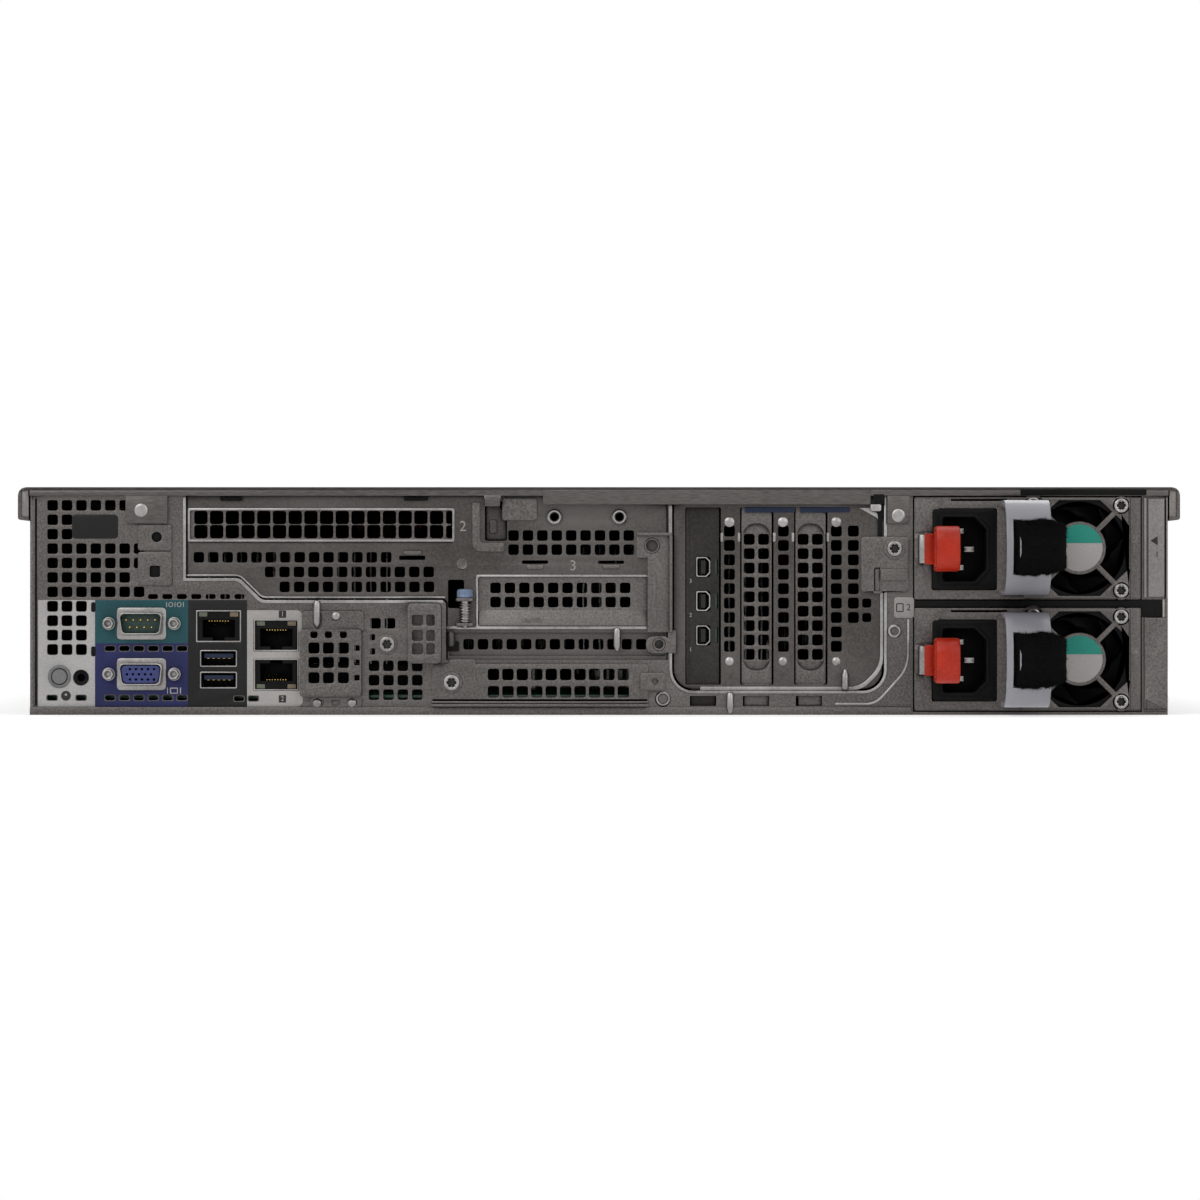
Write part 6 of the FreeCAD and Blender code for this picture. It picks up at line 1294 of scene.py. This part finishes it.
springs = [turned([(0, 16.0), (2.6, 15.8), (3.0, 15.0), (3.0, 12.0), (2.0, 11.8), (2.0, 0), (0, 0)], u,
                  board_top + 4.0, out, axis="up", sides=16)
           for cooler in (47.8, 209.8) for u in (cooler - 2.2, cooler + 80.2) for out in (-338.0, -274.0)]
keep("cooler_bolts", springs, bright)
modules, memory_chips, clips = [], [], []
for bank in (7.8, 129.8, 169.8, 291.8):
    for k in range(4):
        u = bank + 1.3 + 9.0 * k
        clips += [block(u, u + 6.4, -377.5, -234.5, board_top, 14.0),
                  block(u + 1.2, u + 5.2, -377.4, -372.0, 13.8, 22.0),
                  block(u + 1.2, u + 5.2, -240.0, -234.6, 13.8, 22.0)]
        modules.append(block(u + 2.6, u + 3.8, -372.4, -239.4, 13.0, 37.6, 0.1))
        memory_chips += [block(u + 1.6, u + 4.8, out, out + 9.5, 20.0, 32.0, 0.1)
                         for out in steps(-366.0, -254.0, 14.0)]
keep("memory_boards", modules, board_green, stands_for=("memory_modules",))
keep("memory_chips", memory_chips, glossy_black)
keep("memory_sockets", clips, black_plastic)
print("board dressed:", len(memory_chips), "memory chips")

# %% Fans, cage and drive cage
dressed("fan_tray", "fan_cage", shaded_plated, "chassis", 0.2)
dressed("fan_housings", "fan_frames", black_plastic, "chassis", 0.4)
grips = []
for u in cooling_u:
    grips += [block(u - 14, u + 14, -424, -414, 82.2, 84.6, 0.5)]
    grips += [turned([(0, 0.8), (1.9, 0.7), (2.3, 0.0)], u + du, cooling_z + dz, -400.0, sides=16)
              for du in (-35.0, 35.0) for dz in (-35.0, 35.0)]
keep("fan_grips", grips, orange)
dressed("drive_bays", "drive_cage", plated, "chassis", 0.2)
dressed("backplane_board", "backplane", board_green, "chassis", 0.2)
filter_sheet = plate((4.0, 392.0, 64.4, 84.0, 1.0), -690.0, -686.0, 0.5)
keep("front_dust_filter", [filter_sheet], fuzzy)
lo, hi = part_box("power_button")
u_power, z_power = ((lo.x + hi.x) / 2 - left_edge) / mm, (lo.z + hi.z) / 2 / mm


def front_turned(profile, u, z, out):
    """Turned piece that faces the front of the case."""
    mesh = turned(profile, u, z, 0.0)
    flip = Matrix.Translation(spot(u, z, out)) @ Matrix.Rotation(math.pi, 4, "Z")
    mesh.transform(flip @ Matrix.Translation(-spot(u, z, 0.0)))
    return mesh


cap = [(0, 0.6), (3.2, 0.7), (4.4, 0.9), (5.0, 0.4), (5.0, -2.4), (6.1, -2.4), (6.1, -3.6), (0, -3.6)]
keep("power_button_cap", [front_turned(cap, u_power, z_power, -694.0)], grey_plastic, "power_button",
     ("power_button",))
bezel = [(5.4, 0), (5.6, 0.5), (6.4, 0.6), (7.0, 0.4), (7.2, 0)]
keep("power_ring", [front_turned(bezel, u_power, z_power, -693.8)], bright)
lights = [plate((u_power - 14.0, u_power - 11.0, z, z + 1.2, 0.5), -694.2, -693.6, 0.2)
          for z in steps(z_power - 5.0, z_power + 4.0, 3.0)]
keep("front_lights", lights, port_green)
print("front dressed")

# %% [markdown]
# A drive carrier is a dark moulded face on two rails with the drive between them. Its swing handle
# crosses the face: a bar pierced by small vents, with a finger pocket and an orange release key.

# %% Drive carriers and handles
for n in range(1, 9):
    lo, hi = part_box(f"drive_carrier_{n}")
    u0, u1 = (lo.x - left_edge) / mm, (hi.x - left_edge) / mm
    z0, z1 = lo.z / mm, hi.z / mm
    body = f"drive_{n}"
    cut = [rounded(u - 8.0, u + 8.0, z0 + 5.0, z1 - 5.0, 1.0) for u in steps(u0 + 20, u0 + 83, 21)]
    cut += squares(steps(u0 + 4.0, u1 - 4.0, 4.88), [z0 + 2.6], 2.4, 0.5)
    faces = [pushed(rounded(u0, u1, z0, z1, 1.0), cut, -694.5, -690.5, rim=0.4),
             plate((u0, u1, z0, z1, 1.0), -690.6, -680.5, 0.3)]
    for foot in (z0 + 0.8, z0 + 23.8):
        faces.append(plate((u0, u0 + 8.0, foot, foot + 4.4, 1.0), -699.8, -694.4, 0.4))
    faces += [plate((u, u + 2.0, z0 + 1.5, z0 + 21.5, 0.4), -680.6, -543.5, 0.2)
              for u in (u0, u1 - 2.0)]
    keep(f"drive_{n}_carrier_frame", faces, carrier, body, (f"drive_carrier_{n}",))
    disk = [plate((u0 + 2.1, u1 - 2.1, z0 + 1.5, z0 + 27.5, 1.2), -680.6, -533.5, 0.5),
            pushed(rounded(u0 + 8.0, u1 - 8.0, -672.0, -545.0, 12.0, 6), [], z0 + 27.2, z0 + 28.0, "top",
                   rim=0.3)]
    disk += [turned([(0, 0.05), (0.6, 0.05), (0.7, 0.3), (1.5, 0.3), (1.7, 0.0)], u, z0 + 28.0, depth,
                    axis="up", sides=14)
             for u in (u0 + 12.0, u1 - 12.0) for depth in (-668.0, -608.5, -549.0)]
    keep(f"drive_{n}_disk", disk, drive_metal, body)
    lamp_face = plate((u1 - 4.6, u1 - 3.0, z1 - 3.4, z1 - 1.8, 0.5), -694.9, -694.4, 0.2)
    keep(f"drive_{n}_lamp", [lamp_face], port_green, body)
    bar = softened([(u0 + 4.0, z0 + 5.5), (u1 - 1.0, z0 + 5.5, 2.6), (u1 - 1.0, z0 + 23.5, 2.6),
                    (u0 + 4.0, z0 + 23.5)])
    pocket = rounded(u1 - 34.5, u1 - 4.5, z0 + 9.0, z0 + 20.0, 1.5)
    vents = squares(steps(u0 + 8.0, u0 + 66.5, 4.5), [z0 + 10.0, z0 + 14.5, z0 + 19.0], 3.1, 0.8)
    pin = turned([(0, 0), (1.2, 0), (1.2, 4.1), (2.6, 4.1), (2.95, 4.5), (2.95, 21.5), (2.6, 21.9),
                  (1.2, 21.9), (1.2, 26.0), (0, 26.0)], u0 + 4.0, z0 + 1.5, -697.8, axis="up", sides=24)
    keep(f"drive_{n}_handle_bar", [pushed(bar, [pocket] + vents, -700.75, -697.0, rim=0.6),
                                   pushed(bar, [], -697.1, -694.8, rim=0.3), pin],
         grey_plastic, f"drive_{n}_handle", (f"carrier_handle_{n}",))
    key = plate((u1 - 12.0, u1 - 5.5, z0 + 9.9, z0 + 19.1, 1.2), -700.0, -696.9, 0.5)
    keep(f"drive_{n}_release_key", [key], orange, f"drive_{n}_handle")
print("carriers dressed")

# %% [markdown]
# ## Studio
# The photograph is taken straight on, level with the middle of the case, from about two metres. A
# pale floor carries the shadow and fades into the white world further out. Large soft lamps light the
# panel from above and both sides, and the world is white only to the camera, to gloss and to clear
# plastic.

# %% Camera
distance = 2.0
frame_width = 0.4577
camera = bpy.data.cameras.new("camera")
camera.lens = camera.sensor_width * distance / frame_width
camera_stand = bpy.data.objects.new("camera", camera)
camera_stand.location = (0.0004, wall_face - distance, 0.0438)
camera_stand.rotation_euler = (math.pi / 2, 0, 0)
scene.collection.objects.link(camera_stand)
scene.camera = camera_stand

# %% Lamps, floor and world
lamps = [("key", (-0.9, -1.5, 1.3), 1.5, 13), ("fill", (1.1, -1.4, 0.9), 1.5, 6),
         ("top", (0.0, 0.1, 1.9), 2.2, 13), ("back", (0.4, 1.7, 1.0), 1.6, 10)]
for name, place, size, power in lamps:
    lamp = bpy.data.lights.new(name, "AREA")
    lamp.size = size
    lamp.energy = power
    holder = bpy.data.objects.new(name, lamp)
    holder.location = place
    holder.rotation_mode = "QUATERNION"
    holder.rotation_quaternion = (Vector((0, 0, 0.05)) - Vector(place)).to_track_quat("-Z", "Y")
    scene.collection.objects.link(holder)
bm = bmesh.new()
bmesh.ops.create_grid(bm, x_segments=8, y_segments=8, size=1.2)
floor = bpy.data.objects.new("floor", to_mesh(bm))
scene.collection.objects.link(floor)
floor_paint = bpy.data.materials.new("floor")
floor_paint.use_nodes = True
nodes, links = floor_paint.node_tree.nodes, floor_paint.node_tree.links
paint = set_inputs(nodes["Principled BSDF"], Base_Color=(0.86, 0.86, 0.86, 1), Roughness=0.9,
                   Emission_Color=(1, 1, 1, 1), Emission_Strength=0.42)
reach = new_node(nodes, "VectorMath")
reach.operation = "LENGTH"
links.new(new_node(nodes, "TexCoord").outputs["Object"], reach.inputs[0])
fade = new_node(nodes, "MapRange", From_Min=0.45, From_Max=1.1)
fade.interpolation_type = "SMOOTHSTEP"
links.new(reach.outputs["Value"], fade.inputs["Value"])
blend = new_node(nodes, "MixShader")
for source, socket in zip((fade.outputs["Result"], paint.outputs[0],
                           new_node(nodes, "BsdfTransparent").outputs[0]), blend.inputs):
    links.new(source, socket)
links.new(blend.outputs[0], nodes["Material Output"].inputs["Surface"])
floor.data.materials.append(floor_paint)
world = bpy.data.worlds.new("studio")
scene.world = world
world.use_nodes = True
nodes, links = world.node_tree.nodes, world.node_tree.links
sky = set_inputs(nodes["Background"], Color=(1, 1, 1, 1))
rays = new_node(nodes, "LightPath").outputs
seen = rays["Is Camera Ray"]
for kind in ("Glossy", "Transmission"):
    either = new_node(nodes, "Math")
    either.operation = "MAXIMUM"
    links.new(seen, either.inputs[0])
    links.new(rays[f"Is {kind} Ray"], either.inputs[1])
    seen = either.outputs[0]
strength = new_node(nodes, "MapRange", To_Min=0.22, To_Max=1.0)
links.new(seen, strength.inputs["Value"])
links.new(strength.outputs["Result"], sky.inputs["Strength"])
scene.view_settings.view_transform = "Standard"
print("studio set")
